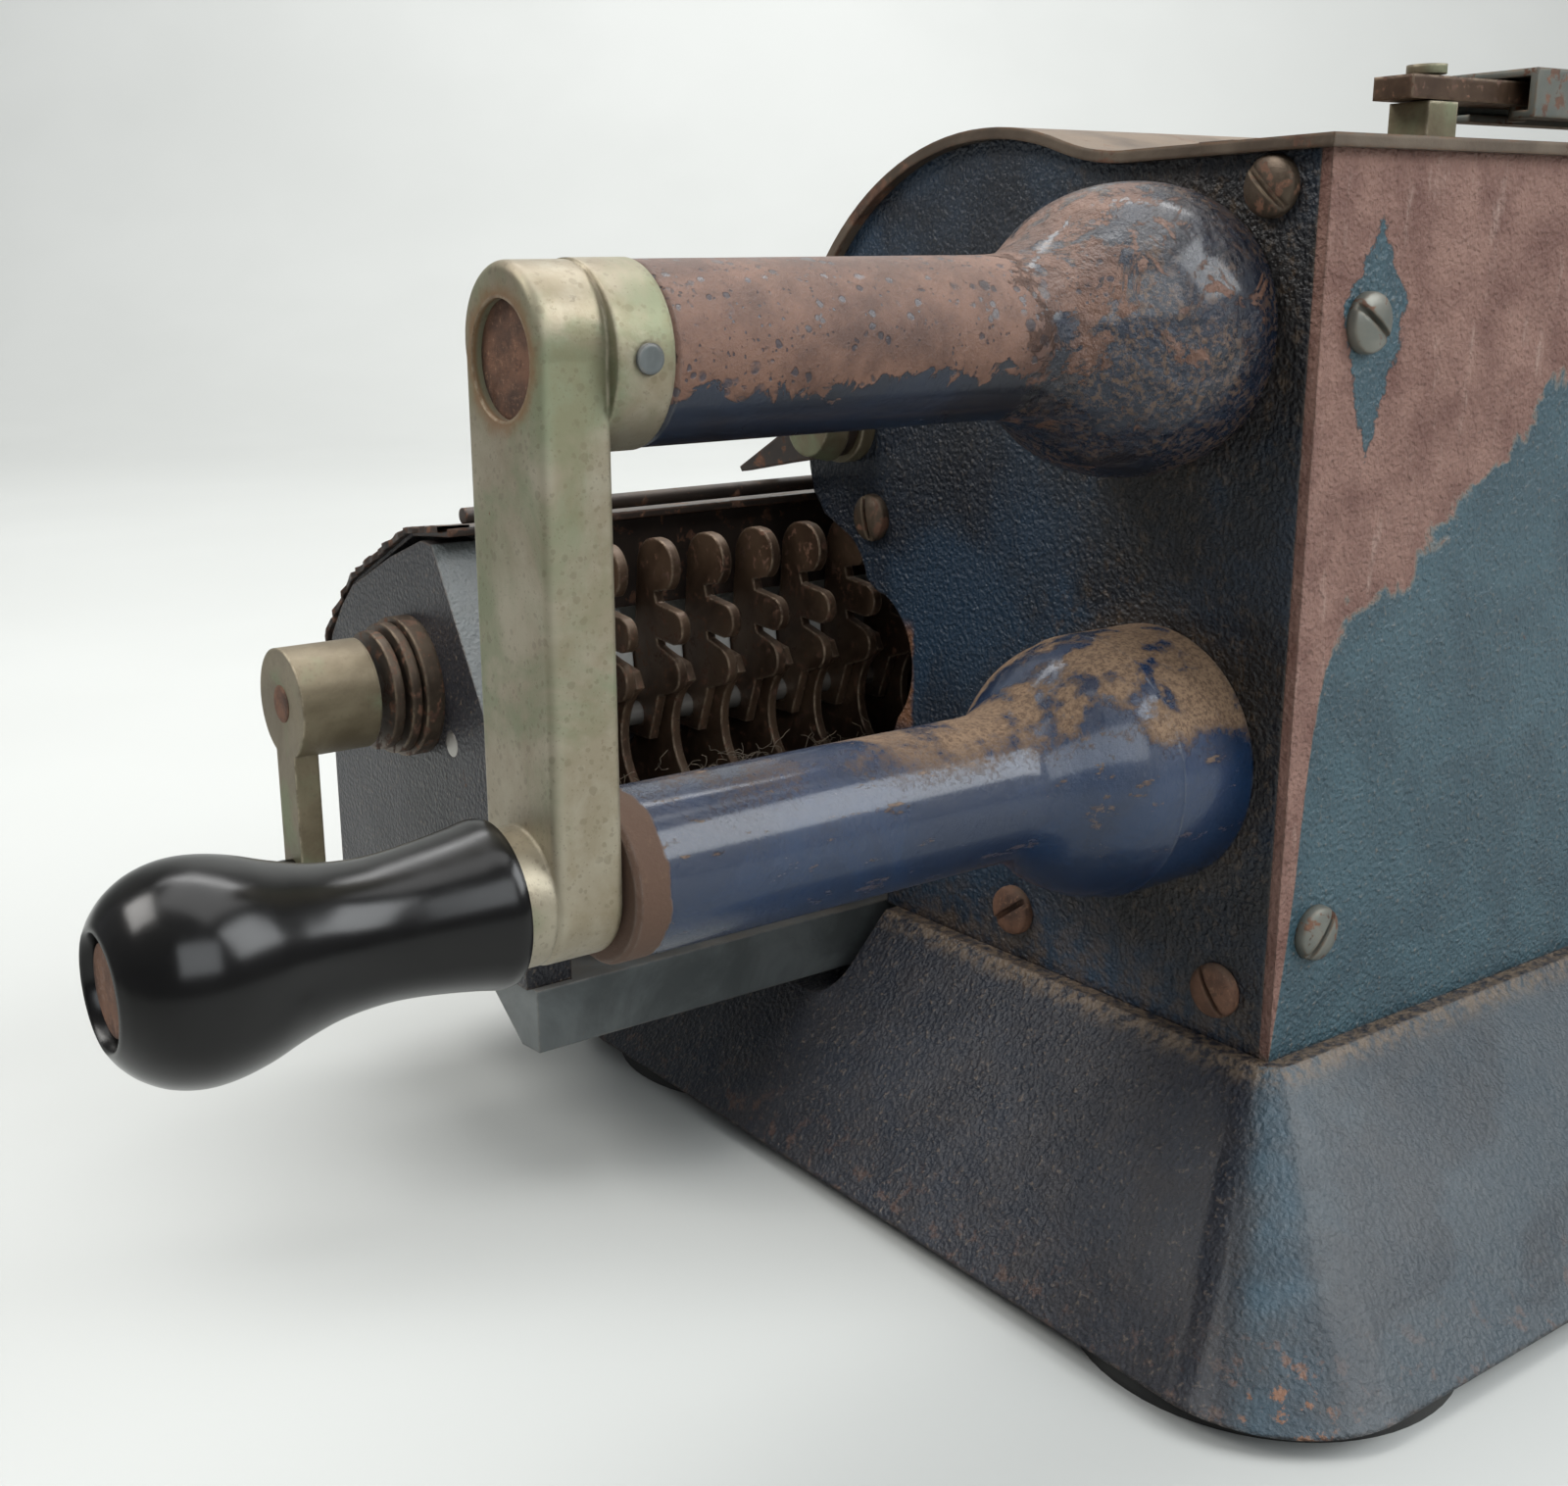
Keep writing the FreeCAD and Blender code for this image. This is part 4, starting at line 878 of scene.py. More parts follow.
class Material(Enum):
    """The finishes of the machine, each made once."""

    PLATE = PlateFinish("crinkle_black", rgb(0.004, 0.0065, 0.012), rgb(0.008, 0.0155, 0.028), rough=0.4,
                        crinkle_depth=0.0006, edge=0.6, edge_colour=rgb(0.11, 0.08, 0.055), edge_metal=0.2,
                        rust=0.05, dust=0.16, dust_colour=rgb(0.13, 0.105, 0.08), coat=0.1,
                        tubes=(axis_of("crank_bearing_tube"), axis_of("lock_tube")))
    PANEL = PanelFinish("crinkle_teal", rgb(0.016, 0.043, 0.058), rgb(0.027, 0.065, 0.083), rough=0.42,
                        crinkle_depth=0.0006, edge=0.6, edge_colour=rgb(0.17, 0.1, 0.07), edge_metal=0.1,
                        rust=0.04, dust=0.15, coat=0.1)
    BASE = BaseFinish("base_paint", rgb(0.006, 0.009, 0.016), rgb(0.010, 0.015, 0.025), rough=0.4,
                      specular=0.3, crinkle_depth=0.0004, edge=0.45, edge_colour=rgb(0.13, 0.095, 0.07),
                      edge_metal=0.1, dust=0.06, coat=0.1)
    UPPER_TUBE = RustedTubeFinish("tube_paint", rgb(0.002, 0.004, 0.010), rgb(0.004, 0.011, 0.027),
                                  rough=0.25, coat=0.35, edge=0.4, dust=0.06,
                                  axis_z=axis_of("crank_bearing_tube")[1])
    LOWER_TUBE = DustyTubeFinish("lock_tube_paint", rgb(0.001, 0.011, 0.036), rgb(0.003, 0.02, 0.06),
                                 rough=0.2, coat=0.5, edge=0.4, dust=0.07, axis_z=axis_of("lock_tube")[1])
    COVER = Finish("cover_metal", rgb(0.06, 0.042, 0.029), rgb(0.12, 0.092, 0.066), rough=0.5, metal=0.3, edge=1.0,
                   edge_colour=rgb(0.13, 0.065, 0.03), edge_metal=0.5, rust=0.3, rust_scale=0.1, grain=0.00004)
    CHEEK = CheekFinish("carriage_paint", rgb(0.010, 0.011, 0.015), rgb(0.017, 0.018, 0.023), rough=0.42,
                        coat=0.1, crinkle_depth=0.0003, crinkle_scale=1.2, edge_colour=rgb(0.1, 0.07, 0.05),
                        edge_metal=0.2, rust=0.1, dust=0.15)
    LID = Finish("carriage_lid", rgb(0.016, 0.012, 0.010), rgb(0.03, 0.02, 0.015), rough=0.4, metal=0.1, edge=1.0,
                 edge_colour=rgb(0.12, 0.06, 0.035), edge_metal=0.2, rust=0.34, rust_scale=0.3, dust=0.18)
    STEEL = Finish("aged_steel", rgb(0.06, 0.043, 0.03), rgb(0.12, 0.09, 0.064), rough=0.4, metal=0.65,
                   edge_colour=rgb(0.25, 0.19, 0.13), edge_metal=0.8, rust=0.4, rust_scale=0.5, dust=0.2,
                   grain=0.00003)
    BROWN = Finish("browned_levers", rgb(0.045, 0.025, 0.015), rgb(0.1, 0.062, 0.038), rough=0.38, metal=0.45,
                   edge=1.0, edge_colour=rgb(0.32, 0.24, 0.17), rust=0.35, rust_scale=0.6, dust=0.25)
    RAIL = Finish("rail_steel", rgb(0.085, 0.095, 0.095), rgb(0.15, 0.165, 0.165), rough=0.42, metal=0.35,
                  edge_colour=rgb(0.22, 0.21, 0.19), rust=0.1, dust=0.25, grain=0.00003)
    CLEAN = Finish("clean_steel", rgb(0.3, 0.29, 0.27), rgb(0.4, 0.385, 0.36), rough=0.36, metal=0.9, edge=0.6,
                   edge_colour=rgb(0.5, 0.47, 0.43), edge_metal=0.9, rust=0.15, rust_scale=0.4, dust=0.15)
    NICKEL = NickelFinish("nickel", rgb(0.1, 0.078, 0.045), rgb(0.17, 0.14, 0.088), rough=0.46, metal=0.45,
                          edge=0.8, edge_colour=rgb(0.5, 0.44, 0.33), edge_metal=0.85, rust=0.04,
                          rust_scale=0.4, dust=0.1)
    ARM = ArmFinish("crank_nickel", rgb(0.235, 0.2, 0.14), rgb(0.31, 0.28, 0.21), rough=0.42, metal=0.6,
                    edge=0.7, edge_colour=rgb(0.45, 0.4, 0.3), edge_metal=0.85, rust=0.03, rust_scale=0.4,
                    dust=0.08, axis=axis_of("crank_bearing_tube"))
    RUSTY = Finish("rusted_steel", rgb(0.07, 0.032, 0.019), rgb(0.13, 0.062, 0.035), rough=0.6, metal=0.2,
                   edge_colour=rgb(0.2, 0.12, 0.07), edge_metal=0.4, rust=0.7, rust_scale=0.6, dust=0.2,
                   grain=0.00008)
    DULL = Finish("dulled_screws", rgb(0.1, 0.115, 0.105), rgb(0.17, 0.165, 0.14), rough=0.42, metal=0.5,
                  edge_colour=rgb(0.17, 0.1, 0.05), edge_metal=0.3, rust=0.35, rust_scale=0.35, dust=0.12)
    DIAL = Finish("cast_dial", rgb(0.5, 0.5, 0.48), rgb(0.6, 0.6, 0.57), rough=0.45, metal=0.3, edge=0.3,
                  dust=0.2)
    HANDLE = Finish("black_handle", rgb(0.002, 0.0019, 0.0018), rgb(0.003, 0.0028, 0.0026), rough=0.2, specular=0.3,
                    edge=0.0, dust=0.03, dust_colour=rgb(0.1, 0.1, 0.095))
    RUBBER = Finish("foot_rubber", rgb(0.016, 0.016, 0.016), rgb(0.03, 0.03, 0.028), rough=0.75, edge=0.3,
                    edge_colour=rgb(0.08, 0.08, 0.07), edge_metal=0.0, dust=0.25,
                    dust_colour=rgb(0.11, 0.105, 0.09), grain=0.00006)
    LINT = Finish("lint", rgb(0.16, 0.12, 0.08), rgb(0.25, 0.2, 0.15), rough=0.95, edge=0.0, dust=0.0)


BUILT: dict[Material, bpy.types.Material] = {}


def material_of(choice: Material) -> bpy.types.Material:
    """Gives a finish's material, making it the first time.

    Args:
        choice: The finish.

    Returns:
        The material.
    """
    if choice not in BUILT:
        BUILT[choice] = choice.value.build()
    return BUILT[choice]


def paint(obj: bpy.types.Object, choice: Material) -> None:
    """Gives an object one finish all over.

    Args:
        obj: The object.
        choice: The finish.
    """
    material = material_of(choice)
    if not obj.data.materials:
        obj.data.materials.append(material)
    for index in range(len(obj.data.materials)):
        obj.data.materials[index] = material


def dress(finishes: dict[Material, Sequence[str]]) -> None:
    """Gives CAD nodes their finishes.

    Args:
        finishes: The nodes of each finish.
    """
    for choice, names in finishes.items():
        for name in names:
            paint(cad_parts[name], choice)


def new_object(name: str, data: Optional[bpy.types.ID]) -> bpy.types.Object:
    """Adds an object with the given data to the scene."""
    thing = bpy.data.objects.new(name, data)
    bpy.context.scene.collection.objects.link(thing)
    return thing


def bake(*things: bpy.types.Object) -> bpy.types.Mesh:
    """Makes a plain mesh of the first object as it stands evaluated.

    Args:
        things: The object, and helpers of its that go with it when it is removed.

    Returns:
        The mesh.
    """
    bpy.context.view_layer.update()
    mesh = bpy.data.meshes.new_from_object(things[0].evaluated_get(bpy.context.evaluated_depsgraph_get()))
    for thing in things:
        bpy.data.objects.remove(thing)
    return mesh


def add_piece(name: str, mesh: bpy.types.Mesh, body: str, choice: Material,
              stands_for: Sequence[str] = (), smooth: Optional[float] = 35.0) -> bpy.types.Object:
    """Puts a new mesh into the scene as a piece of a body.

    Args:
        name: The piece's name.
        mesh: Its mesh, drawn in scene coordinates.
        body: The CAD body it rides.
        choice: Its finish.
        stands_for: The CAD nodes it replaces.
        smooth: The angle over which an edge stays sharp, in degrees, or None for flat faces.

    Returns:
        The piece.
    """
    if smooth is not None:
        for polygon in mesh.polygons:
            polygon.use_smooth = True
        mesh.set_sharp_from_angle(angle=math.radians(smooth))
    piece = new_object(name, mesh)
    paint(piece, choice)
    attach(piece, body)
    if stands_for:
        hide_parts(*stands_for)
    LOG.info("piece %s rides %s", name, body)
    return piece


def mesh_of(name: str, points: Sequence[Vector], faces: Sequence[Sequence[int]]) -> bpy.types.Mesh:
    """Makes a mesh from points and faces.

    Args:
        name: The mesh's name.
        points: Its points in metres.
        faces: Its faces.

    Returns:
        The mesh.
    """
    mesh = bpy.data.meshes.new(name)
    mesh.from_pydata([tuple(point) for point in points], [], [tuple(face) for face in faces])
    mesh.validate()
    return mesh


def rounded(profile: Sequence[tuple[float, float]], steps: int) -> list[tuple[float, float]]:
    """Runs a smooth curve through a profile's points.

    Args:
        profile: The points.
        steps: The number of parts that each stretch is cut into.

    Returns:
        The finer profile.
    """
    out: list[tuple[float, float]] = []
    count = len(profile)
    for index in range(count - 1):
        around = [profile[max(0, min(count - 1, index + shift))] for shift in (-1, 0, 1, 2)]
        for step in range(steps):
            t = step / steps
            out.append(tuple(0.5 * (2 * b + (c - a) * t + (2 * a - 5 * b + 4 * c - d) * t ** 2
                                    + (3 * b - a - 3 * c + d) * t ** 3) for a, b, c, d in zip(*around)))
    out.append(profile[-1])
    return out


def ring_faces(rows: int, around: int) -> list[tuple[int, ...]]:
    """The faces between rings of points that follow each other.

    Args:
        rows: The number of rings.
        around: The number of points in a ring.

    Returns:
        The faces.
    """
    faces: list[tuple[int, ...]] = []
    for row in range(rows - 1):
        low, high = row * around, (row + 1) * around
        for index in range(around):
            following = (index + 1) % around
            faces.append((low + index, low + following, high + following, high + index))
    return faces


def revolve(name: str, profile: Sequence[tuple[float, float]], around: int,
            place: Callable[[float, float, float], Vector]) -> bpy.types.Mesh:
    """Turns a profile about its axis.

    Args:
        name: The mesh's name.
        profile: Points (along the axis, radius) in millimetres.
        around: The number of points round the axis.
        place: Turns a place along the axis and two across it into a point in metres.

    Returns:
        The mesh.
    """
    points = []
    for along, radius in profile:
        for index in range(around):
            angle = 2 * math.pi * index / around
            points.append(place(along, radius * math.cos(angle), radius * math.sin(angle)))
    return mesh_of(name, points, ring_faces(len(profile), around))


def lathe(name: str, profile: Sequence[tuple[float, float]], y: float, z: float,
          around: int = 96) -> bpy.types.Mesh:
    """Turns a profile of (x, radius) about the line along X through y and z, in millimetres."""
    return revolve(name, profile, around, lambda x, first, second: at(x, y + first, z + second))


def extrude(name: str, outline: Sequence[tuple[float, float]], x0: float, x1: float) -> bpy.types.Mesh:
    """Thickens an outline in (y, z) between two places along X.

    Args:
        name: The mesh's name.
        outline: The corners in millimetres.
        x0: Where it starts.
        x1: Where it ends.

    Returns:
        The mesh.
    """
    count = len(outline)
    points = [at(x, y, z) for x in (x0, x1) for y, z in outline]
    faces = [tuple(range(count))[::-1], tuple(range(count, 2 * count))]
    faces += [(i, (i + 1) % count, count + (i + 1) % count, count + i) for i in range(count)]
    return mesh_of(name, points, faces)


@dataclass
class SlottedScrew:
    """A cheese-head screw with a domed, slotted head."""

    place: Vector
    facing: Vector
    slot_angle: float
    radius: float = 3.9
    height: float = 2.1
    slot_width: float = 0.95
    slot_depth: float = 1.2
    sides: int = 40

    def mesh(self, name: str) -> bpy.types.Mesh:
        """Turns the head and cuts its slot.

        Args:
            name: The mesh's name.

        Returns:
            The head's mesh in scene coordinates.
        """
        r, h = self.radius, self.height
        profile = [(0.0, 0.0), (0.0, r), (0.35 * h, r), (0.62 * h, 0.95 * r), (0.8 * h, 0.8 * r),
                   (0.93 * h, 0.5 * r), (h, 0.0)]
        turned = revolve(name, profile, self.sides, lambda z, x, y: Vector((x, y, z)) * MM)
        head = new_object(name, turned)
        half = (self.slot_width / 2, r * 1.3, self.slot_depth)
        corners = [Vector((sx * half[0], sy * half[1], h - self.slot_depth + sz * half[2] * 2)) * MM
                   for sx in (-1, 1) for sy in (-1, 1) for sz in (0, 1)]
        blade_faces = [(0, 1, 3, 2), (4, 6, 7, 5), (0, 4, 5, 1), (2, 3, 7, 6), (0, 2, 6, 4), (1, 5, 7, 3)]
        blade = new_object(name + "_blade", mesh_of(name + "_blade", corners, blade_faces))
        slot = head.modifiers.new("slot", "BOOLEAN")
        slot.object, slot.operation = blade, "DIFFERENCE"
        done = bake(head, blade)
        facing = self.facing.to_track_quat("Z", "Y").to_matrix().to_4x4()
        done.transform(Matrix.Translation(self.place) @ facing @ Matrix.Rotation(self.slot_angle, 4, "Z"))
        done.name = name
        return done


def join(name: str, meshes: Sequence[bpy.types.Mesh]) -> bpy.types.Mesh:
    """Joins meshes into one.

    Args:
        name: The new mesh's name.
        meshes: The meshes.

    Returns:
        The joined mesh.
    """
    points, faces = [], []
    for mesh in meshes:
        start = len(points)
        points += [vertex.co.copy() for vertex in mesh.vertices]
        faces += [[start + index for index in polygon.vertices] for polygon in mesh.polygons]
    return mesh_of(name, points, faces)


@dataclass
class Housing:
    """The fixed box: base, plates, panel, cover, their screws and the feet."""

    side_screws: tuple[tuple[float, float, float], ...] = (
        (-8.4, 115.4, 47.0), (-9.4, 7.6, 36.0), (-49.6, 7.8, -52.0), (-85.3, 66.2, 14.0))
    panel_screws: tuple[tuple[float, float, float], ...] = ((-8.8, 98.7, 56.0), (-7.7, 17.4, -39.0))
    width: float = 190.0

    def build(self) -> None:
        """Dresses the CAD nodes and adds the screws and the strip in the cover's valley."""
        dress({Material.BASE: ["base_casting"], Material.RUBBER: ["rubber_feet"], Material.PANEL: ["back_panel"],
               Material.PLATE: ["right_side_plate", "left_side_plate"], Material.COVER: ["top_cover"],
               Material.STEEL: ["foot_screws", "panel_lugs", "side_plate_screws", "back_panel_screws"],
               Material.CLEAN: ["tie_rods"], Material.LID: ["setting_plate"], Material.RAIL: ["carriage_guide"],
               Material.NICKEL: ["drum_bushes"]})
        for name, group, choice in (("low", self.side_screws[1:3], Material.RUSTY),
                                    ("high", self.side_screws[::3], Material.STEEL)):
            heads = [SlottedScrew(at(x, y, z), Vector((side, 0, 0)), math.radians(angle)).mesh("side_head")
                     for side, x in ((1, 0.0), (-1, -self.width)) for y, z, angle in group]
            add_piece(f"side_screw_heads_{name}", join("side_heads", heads), "frame", choice,
                      ["side_plate_screws"])
        heads = [SlottedScrew(at(place, 0, z), Vector((0, 1, 0)), math.radians(angle)).mesh("back_head")
                 for x, z, angle in self.panel_screws for place in (x, -self.width - x)]
        add_piece("back_panel_screw_heads", join("back_heads", heads), "frame", Material.DULL,
                  ["back_panel_screws"])
        strip = extrude("valley_strip", ((-38.0, 121.4), (-38.0, 122.9), (-32.0, 122.9), (-32.0, 121.2)),
                        -118.0, -20.0)
        add_piece("valley_strip", strip, "frame", Material.LID, smooth=None)


@dataclass
class Tubes:
    """The two tubes on the right plate, turned finely so that their shine runs smoothly."""

    bore: float = 6.31
    lock_bore: float = 3.66

    def build(self) -> None:
        """Adds both tubes and dresses the plunger."""
        y, z = axis_of("crank_bearing_tube")
        upper = [(0.05, self.bore), (0.05, 17.6)]
        upper += rounded([(0.05, 17.6), (4.6, 18.75), (9.4, 18.98), (14.6, 18.3), (19.4, 16.5),
                          (23.6, 13.7), (27.4, 11.5), (31.0, 10.3), (35.4, 10.0)], 6)
        upper += [(60.0, 10.0), (85.6, 10.0), (86.15, 9.6), (86.2, self.bore)]
        add_piece("crank_bearing_tube_skin", lathe("upper_tube", upper, y, z, 128), "frame", Material.UPPER_TUBE,
                  ["crank_bearing_tube"])
        y, z = axis_of("lock_tube")
        lower = [(0.05, 1.0), (0.05, 18.4), (13.4, 18.4)]
        lower += rounded([(13.6, 18.25), (17.6, 17.4), (21.0, 15.9), (24.0, 13.8), (27.0, 11.7), (30.4, 10.3),
                          (34.4, 10.0)], 6)
        lower += [(70.0, 10.0), (91.9, 10.0), (92.5, 9.5), (92.5, self.lock_bore), (64.0, self.lock_bore)]
        add_piece("lock_tube_skin", lathe("lower_tube", lower, y, z, 128), "frame", Material.LOWER_TUBE,
                  ["lock_tube"])
        dress({Material.STEEL: ["rest_plunger"]})


@dataclass
class Crank:
    """The crank with its hanging arm and black handle."""

    def build(self) -> None:
        """Dresses the crank and turns the handle."""
        dress({Material.ARM: ["crank_arm"], Material.CLEAN: ["crank_gear"], Material.RAIL: ["crank_cross_pin"],
               Material.RUSTY: ["crank_shaft", "handle_spindle"]})
        y, z = axis_of("handle_spindle")
        profile = [(105.35, 3.3), (105.35, 9.4)]
        profile += rounded([(105.35, 9.45), (106.6, 9.55), (109.2, 9.05), (113.0, 8.45), (117.2, 7.98),
                            (121.0, 7.92), (125.4, 8.4), (129.6, 9.5), (133.6, 10.85), (137.2, 11.6),
                            (140.4, 11.65), (143.4, 10.9), (145.8, 9.5), (147.4, 7.9), (148.3, 6.5)], 8)
        profile += [(148.4, 6.2), (148.2, 5.95), (145.6, 5.9), (145.55, 3.4)]
        add_piece("crank_handle_skin", lathe("handle", profile, y, z, 128), "grip", Material.HANDLE,
                  ["crank_handle"], smooth=60.0)


@dataclass
class Drum:
    """The drum and its setting levers."""

    levers: int = 9

    def build(self) -> None:
        """Dresses the drum and the levers."""
        dress({Material.CLEAN: ["drum_shaft", "drum_gear", "pinwheels"]
               + [f"setting_lever_{index + 1}" for index in range(self.levers)]})


@dataclass
class Carriage:
    """The register carriage with its torn lid edge, knob and the lint between its levers."""

    right: float = 69.0
    edge_width: float = 5.0
    hairs: int = 260
    hair_radius: float = 0.00007
    lint_x: tuple[float, float] = (-8.0, 60.0)
    lint_y: tuple[float, float] = (-97.0, -89.0)
    lint_z: tuple[float, float] = (19.0, 25.0)
    seed: int = 7

    def build(self) -> None:
        """Dresses the carriage and adds a dark sheet of painted shade at the levers, the torn edge, the knob and
        the lint.
        """
        dress({Material.CHEEK: ["carriage_cheek_right", "carriage_cheek_left", "carriage_cover", "register_plate"],
               Material.LID: ["lid_strip", "carriage_hinge_rod"], Material.RAIL: ["carriage_rail"],
               Material.BROWN: ["tens_carry_levers", "comb_plates"],
               Material.STEEL: ["shaft_collar", "spring_washers"],
               Material.CLEAN: ["tens_shaft", "result_shaft", "counter_shaft"],
               Material.DIAL: ["result_dials", "counter_dials"],
               Material.NICKEL: ["clearing_crank", "counter_clearing_crank"]})
        # Painted shade: a dark sheet fills the gaps above the levers, where there is only shade, so that no bright
        # background shows through.
        shade_sheet = extrude("shade_sheet", ((-109.6, 66.4), (-110.2, 66.4), (-110.2, 51.6), (-109.6, 51.6)), -130.0, 61.0)
        add_piece("painted_shade_sheet", shade_sheet, "carriage", Material.LID, smooth=None)
        self.add_torn_edge()
        self.add_shaft_end()
        self.add_knob()
        self.add_lint()

    def add_torn_edge(self) -> None:
        """Adds the ragged, lifted edge of the sheet round the right cheek."""
        rng = random.Random(self.seed)
        line = [(-106.2, 68.6), (-113.8, 67.7), (-118.7, 67.1), (-124.5, 64.5), (-130.5, 61.7), (-136.5, 59.0),
                (-142.7, 56.2), (-147.7, 51.2), (-152.7, 46.2), (-154.2, 42.4), (-155.3, 38.8)]
        outer, inner = [], []
        for index in range(len(line) - 1):
            (y0, z0), (y1, z1) = line[index], line[index + 1]
            for step in range(5):
                t = step / 5
                y, z = y0 + (y1 - y0) * t, z0 + (z1 - z0) * t
                along = Vector((y1 - y0, z1 - z0)).normalized()
                out = Vector((along.y, -along.x)) * (1 if along.y < 0 or along.x < 0 else -1)
                lift = rng.uniform(0.0, 0.35)
                outer.append((y + out.x * -lift if out.y < 0 else y + out.x * lift, z + abs(out.y) * lift))
                inner.append((y, z - 0.9))
        ragged = [self.right + rng.uniform(-0.5, 0.6) for _ in outer]
        back = self.right - self.edge_width
        points = []
        for (oy, oz), (iy, iz), x in zip(outer, inner, ragged):
            points += [at(back, oy, oz - 0.2), at(x, oy, oz), at(x, iy, iz), at(back, iy, iz)]
        edge = mesh_of("torn_edge", points, ring_faces(len(outer), 4))
        add_piece("torn_lid_edge", edge, "carriage", Material.LID, smooth=None)

    def add_shaft_end(self) -> None:
        """Adds the rusty end of the clearing shaft, riveted over in the clearing crank's hub."""
        face = (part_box("clearing_crank")[1].x - ORIGIN.x) / MM
        y, z = axis_of("result_shaft")
        profile = [(face - 0.4, 0.0), (face - 0.4, 3.0), (face + 0.05, 3.0), (face + 0.2, 2.7), (face + 0.1, 1.6),
                   (face + 0.1, 0.0)]
        add_piece("clearing_shaft_end", lathe("shaft_end", profile, y, z, 40), "result", Material.RUSTY,
                  smooth=40.0)

    def add_knob(self) -> None:
        """Turns the clearing crank's small knob."""
        low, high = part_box("clearing_knob")
        y, z = axis_of("clearing_knob")
        start = (low.x - ORIGIN.x) / MM
        length = (high.x - low.x) / MM
        shape = [(0.0, 0.0), (0.0, 3.4), (0.12, 3.5), (0.3, 3.1), (0.5, 3.6), (0.7, 4.4), (0.85, 4.55), (0.95, 3.7),
                 (1.0, 2.2), (1.0, 0.0)]
        turned = rounded([(start + t * length, r) for t, r in shape[1:-1]], 5)
        profile = [(start, 0.0)] + turned + [(start + length, 0.0)]
        add_piece("clearing_knob_skin", lathe("knob", profile, y, z, 64), "result", Material.HANDLE,
                  ["clearing_knob"], smooth=60.0)

    def add_lint(self) -> None:
        """Scatters fine hairs over the foot of the comb plates."""
        rng = random.Random(self.seed + 1)
        curve = bpy.data.curves.new("lint", "CURVE")
        curve.dimensions = "3D"
        curve.bevel_depth = self.hair_radius
        curve.bevel_resolution = 0
        for _ in range(self.hairs):
            x = rng.uniform(*self.lint_x)
            y = rng.uniform(*self.lint_y)
            z = rng.uniform(*self.lint_z) + rng.random() ** 2 * 4.0
            hair = curve.splines.new("POLY")
            hair.points.add(6)
            heading = Vector((rng.uniform(-1, 1), rng.uniform(-0.5, 0.5), rng.uniform(-0.2, 0.5)))
            spot = Vector((x, y, z))
            for point in hair.points:
                point.co = (*at(*spot), 1.0)
                heading = (heading + Vector([rng.uniform(-0.7, 0.7) for _ in range(3)])).normalized()
                spot = spot + heading * rng.uniform(0.5, 1.1)
        mesh = bake(new_object("lint_curve", curve))
        mesh.materials.clear()
        add_piece("lint", mesh, "carriage", Material.LINT, smooth=None)


@dataclass
class TopLink:
    """The bar over the top cover."""

    def build(self) -> None:
        """Dresses the link bar, its levers and blocks."""
        dress({Material.BROWN: ["link_lever_right", "link_lever_left"], Material.DULL: ["link_bar"],
               Material.NICKEL: ["link_blocks"]})


@dataclass
class Pointer:
    """The pointed pawl over the carriage."""

    def build(self) -> None:
        """Dresses the pawl and its boss."""
        dress({Material.NICKEL: ["pointer_boss"], Material.LID: ["pointer_pawl"]})


@dataclass
class Softbox:
    """One area light."""

    name: str
    place: tuple[float, float, float]
    width: float
    height: float
    watts: float
    tint: tuple[float, float, float] = (1.0, 1.0, 1.0)
    aim: Optional[tuple[float, float, float]] = None

    def build(self, middle: Vector) -> None:
        """Adds the light.

        Args:
            middle: Where it points unless it has an aim of its own.
        """
        target = Vector(self.aim) if self.aim else middle
        data = bpy.data.lights.new(self.name, "AREA")
        data.shape = "RECTANGLE"
        data.size, data.size_y, data.energy, data.color = self.width, self.height, self.watts, self.tint
        light = new_object(self.name, data)
        light.location = self.place
        light.rotation_euler = (target - light.location).to_track_quat("-Z", "Y").to_euler()


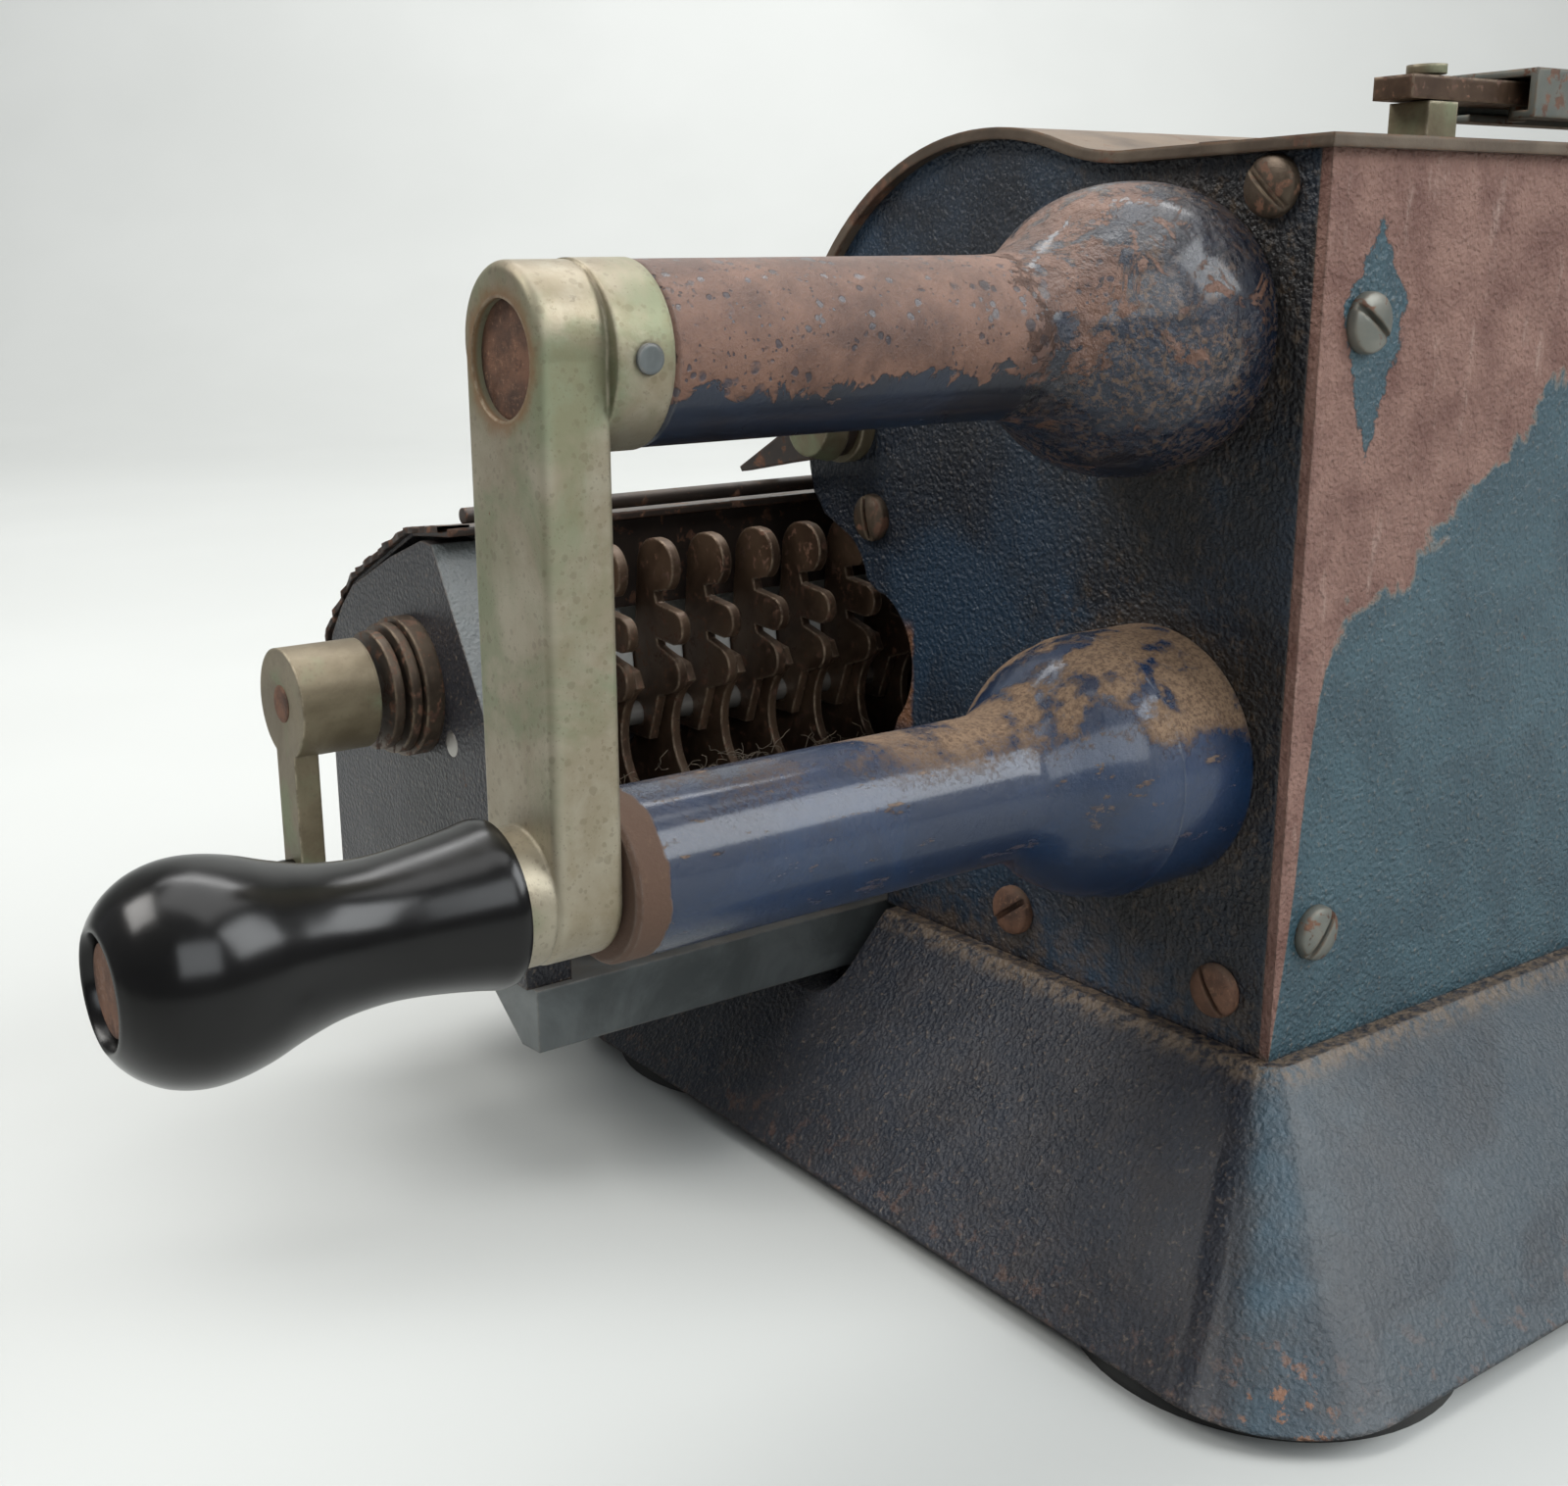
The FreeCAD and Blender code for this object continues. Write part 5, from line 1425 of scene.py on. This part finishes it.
@dataclass
class Studio:
    """Pale floor and backdrop, soft lights and the camera."""

    eye: tuple[float, float, float] = (191.5, 144.1, 106.5)
    yaw: float = -55.6
    pitch: float = -14.8
    roll: float = -0.8
    lens: float = 41.26
    shift: float = 0.05
    sensor: float = 36.0
    near: float = 0.01
    sky: Colour = rgb(0.93, 0.95, 1.0)
    sky_strength: float = 0.26
    floor_near: float = -2.5
    floor_far: float = 1.2
    floor_half: float = 4.0
    sweep: float = 0.8
    wall: float = 4.0
    lights: tuple[Softbox, ...] = field(default_factory=lambda: (
        Softbox("key", (0.75, -0.35, 0.95), 0.6, 0.45, 9.0, (1.0, 0.98, 0.95)),
        Softbox("side", (0.3, 1.1, 0.75), 0.9, 0.7, 8.0, (0.93, 0.97, 1.0)),
        Softbox("window", (-0.62, 0.78, 0.85), 0.7, 0.7, 13.0, (0.95, 0.98, 1.0)),
        Softbox("top", (-0.1, -0.1, 1.1), 1.0, 1.0, 9.0, (1.0, 1.0, 1.0)),
        Softbox("backdrop", (-0.5, -0.7, 1.6), 1.6, 1.0, 38.0, (1.0, 1.0, 1.0), (-1.1, -1.6, 0.5))))

    def forward(self) -> Vector:
        """The way the camera looks.

        Returns:
            The direction.
        """
        yaw, pitch = math.radians(self.yaw), math.radians(self.pitch)
        return Vector((-math.cos(yaw) * math.cos(pitch), math.sin(yaw) * math.cos(pitch), math.sin(pitch)))

    def build(self) -> None:
        """Adds the floor, the light and the camera."""
        self.add_floor()
        low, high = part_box("right_side_plate")
        for light in self.lights:
            light.build((low + high) / 2)
        world = bpy.data.worlds.new("studio")
        bpy.context.scene.world = world
        world.use_nodes = True
        sky = world.node_tree.nodes["Background"].inputs
        sky["Color"].default_value, sky["Strength"].default_value = self.sky, self.sky_strength
        bpy.context.scene.view_settings.view_transform = "Standard"
        self.add_camera()

    def add_floor(self) -> None:
        """Adds the floor, which rises into the backdrop far behind the machine."""
        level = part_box("rubber_feet")[0].z
        away = self.forward()
        away = Vector((away.x, away.y, 0.0)).normalized()
        side = Vector((-away.y, away.x, 0.0))
        profile = [(self.floor_near, 0.0), (self.floor_far, 0.0)]
        for angle in map(math.radians, range(6, 91, 6)):
            rise = self.sweep - self.sweep * math.cos(angle)
            profile.append((self.floor_far + self.sweep * math.sin(angle), rise))
        profile.append((self.floor_far + self.sweep, self.wall))
        points = [Vector((0, 0, level)) + away * along + Vector((0, 0, up)) + side * aside
                  for along, up in profile for aside in (-self.floor_half, self.floor_half)]
        faces = [(2 * i, 2 * i + 1, 2 * i + 3, 2 * i + 2) for i in range(len(profile) - 1)]
        mesh = mesh_of("floor", points, faces)
        for polygon in mesh.polygons:
            polygon.use_smooth = True
        floor = new_object("floor", mesh)
        material = bpy.data.materials.new("floor_paint")
        material.use_nodes = True
        graph = Graph(material.node_tree)
        shader = material.node_tree.nodes["Principled BSDF"]
        place = graph.add("ShaderNodeTexCoord").outputs["Object"]
        cloud = graph.span(graph.noise(place, 2.0, 4.0), 0.3, 0.7)
        colour = graph.mix(cloud, rgb(0.42, 0.43, 0.415), rgb(0.45, 0.46, 0.445))
        graph.feed(shader.inputs["Base Color"], colour)
        graph.feed(shader.inputs["Roughness"], 0.55)
        floor.data.materials.append(material)

    def add_camera(self) -> None:
        """Adds the camera at its place and angle."""
        roll = math.radians(self.roll)
        data = bpy.data.cameras.new("camera")
        data.lens, data.sensor_width, data.shift_x = self.lens, self.sensor, self.shift
        data.sensor_fit, data.clip_start = "HORIZONTAL", self.near
        camera = new_object("camera", data)
        forward = self.forward()
        right = forward.cross(Vector((0, 0, 1))).normalized()
        up = right.cross(forward)
        turned_right = right * math.cos(roll) + up * math.sin(roll)
        turned_up = up * math.cos(roll) - right * math.sin(roll)
        axes = Matrix((turned_right, turned_up, -forward)).transposed().to_4x4()
        camera.matrix_world = Matrix.Translation(at(*self.eye)) @ axes
        bpy.context.scene.camera = camera


def main() -> None:
    """Builds the machine's looks and the studio."""
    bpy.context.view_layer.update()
    for part in (Housing(), Tubes(), Crank(), Drum(), Carriage(), TopLink(), Pointer(), Studio()):
        part.build()
        LOG.info("built %s", type(part).__name__)


if __name__ == "__main__":
    logging.basicConfig(level=logging.INFO)
    main()
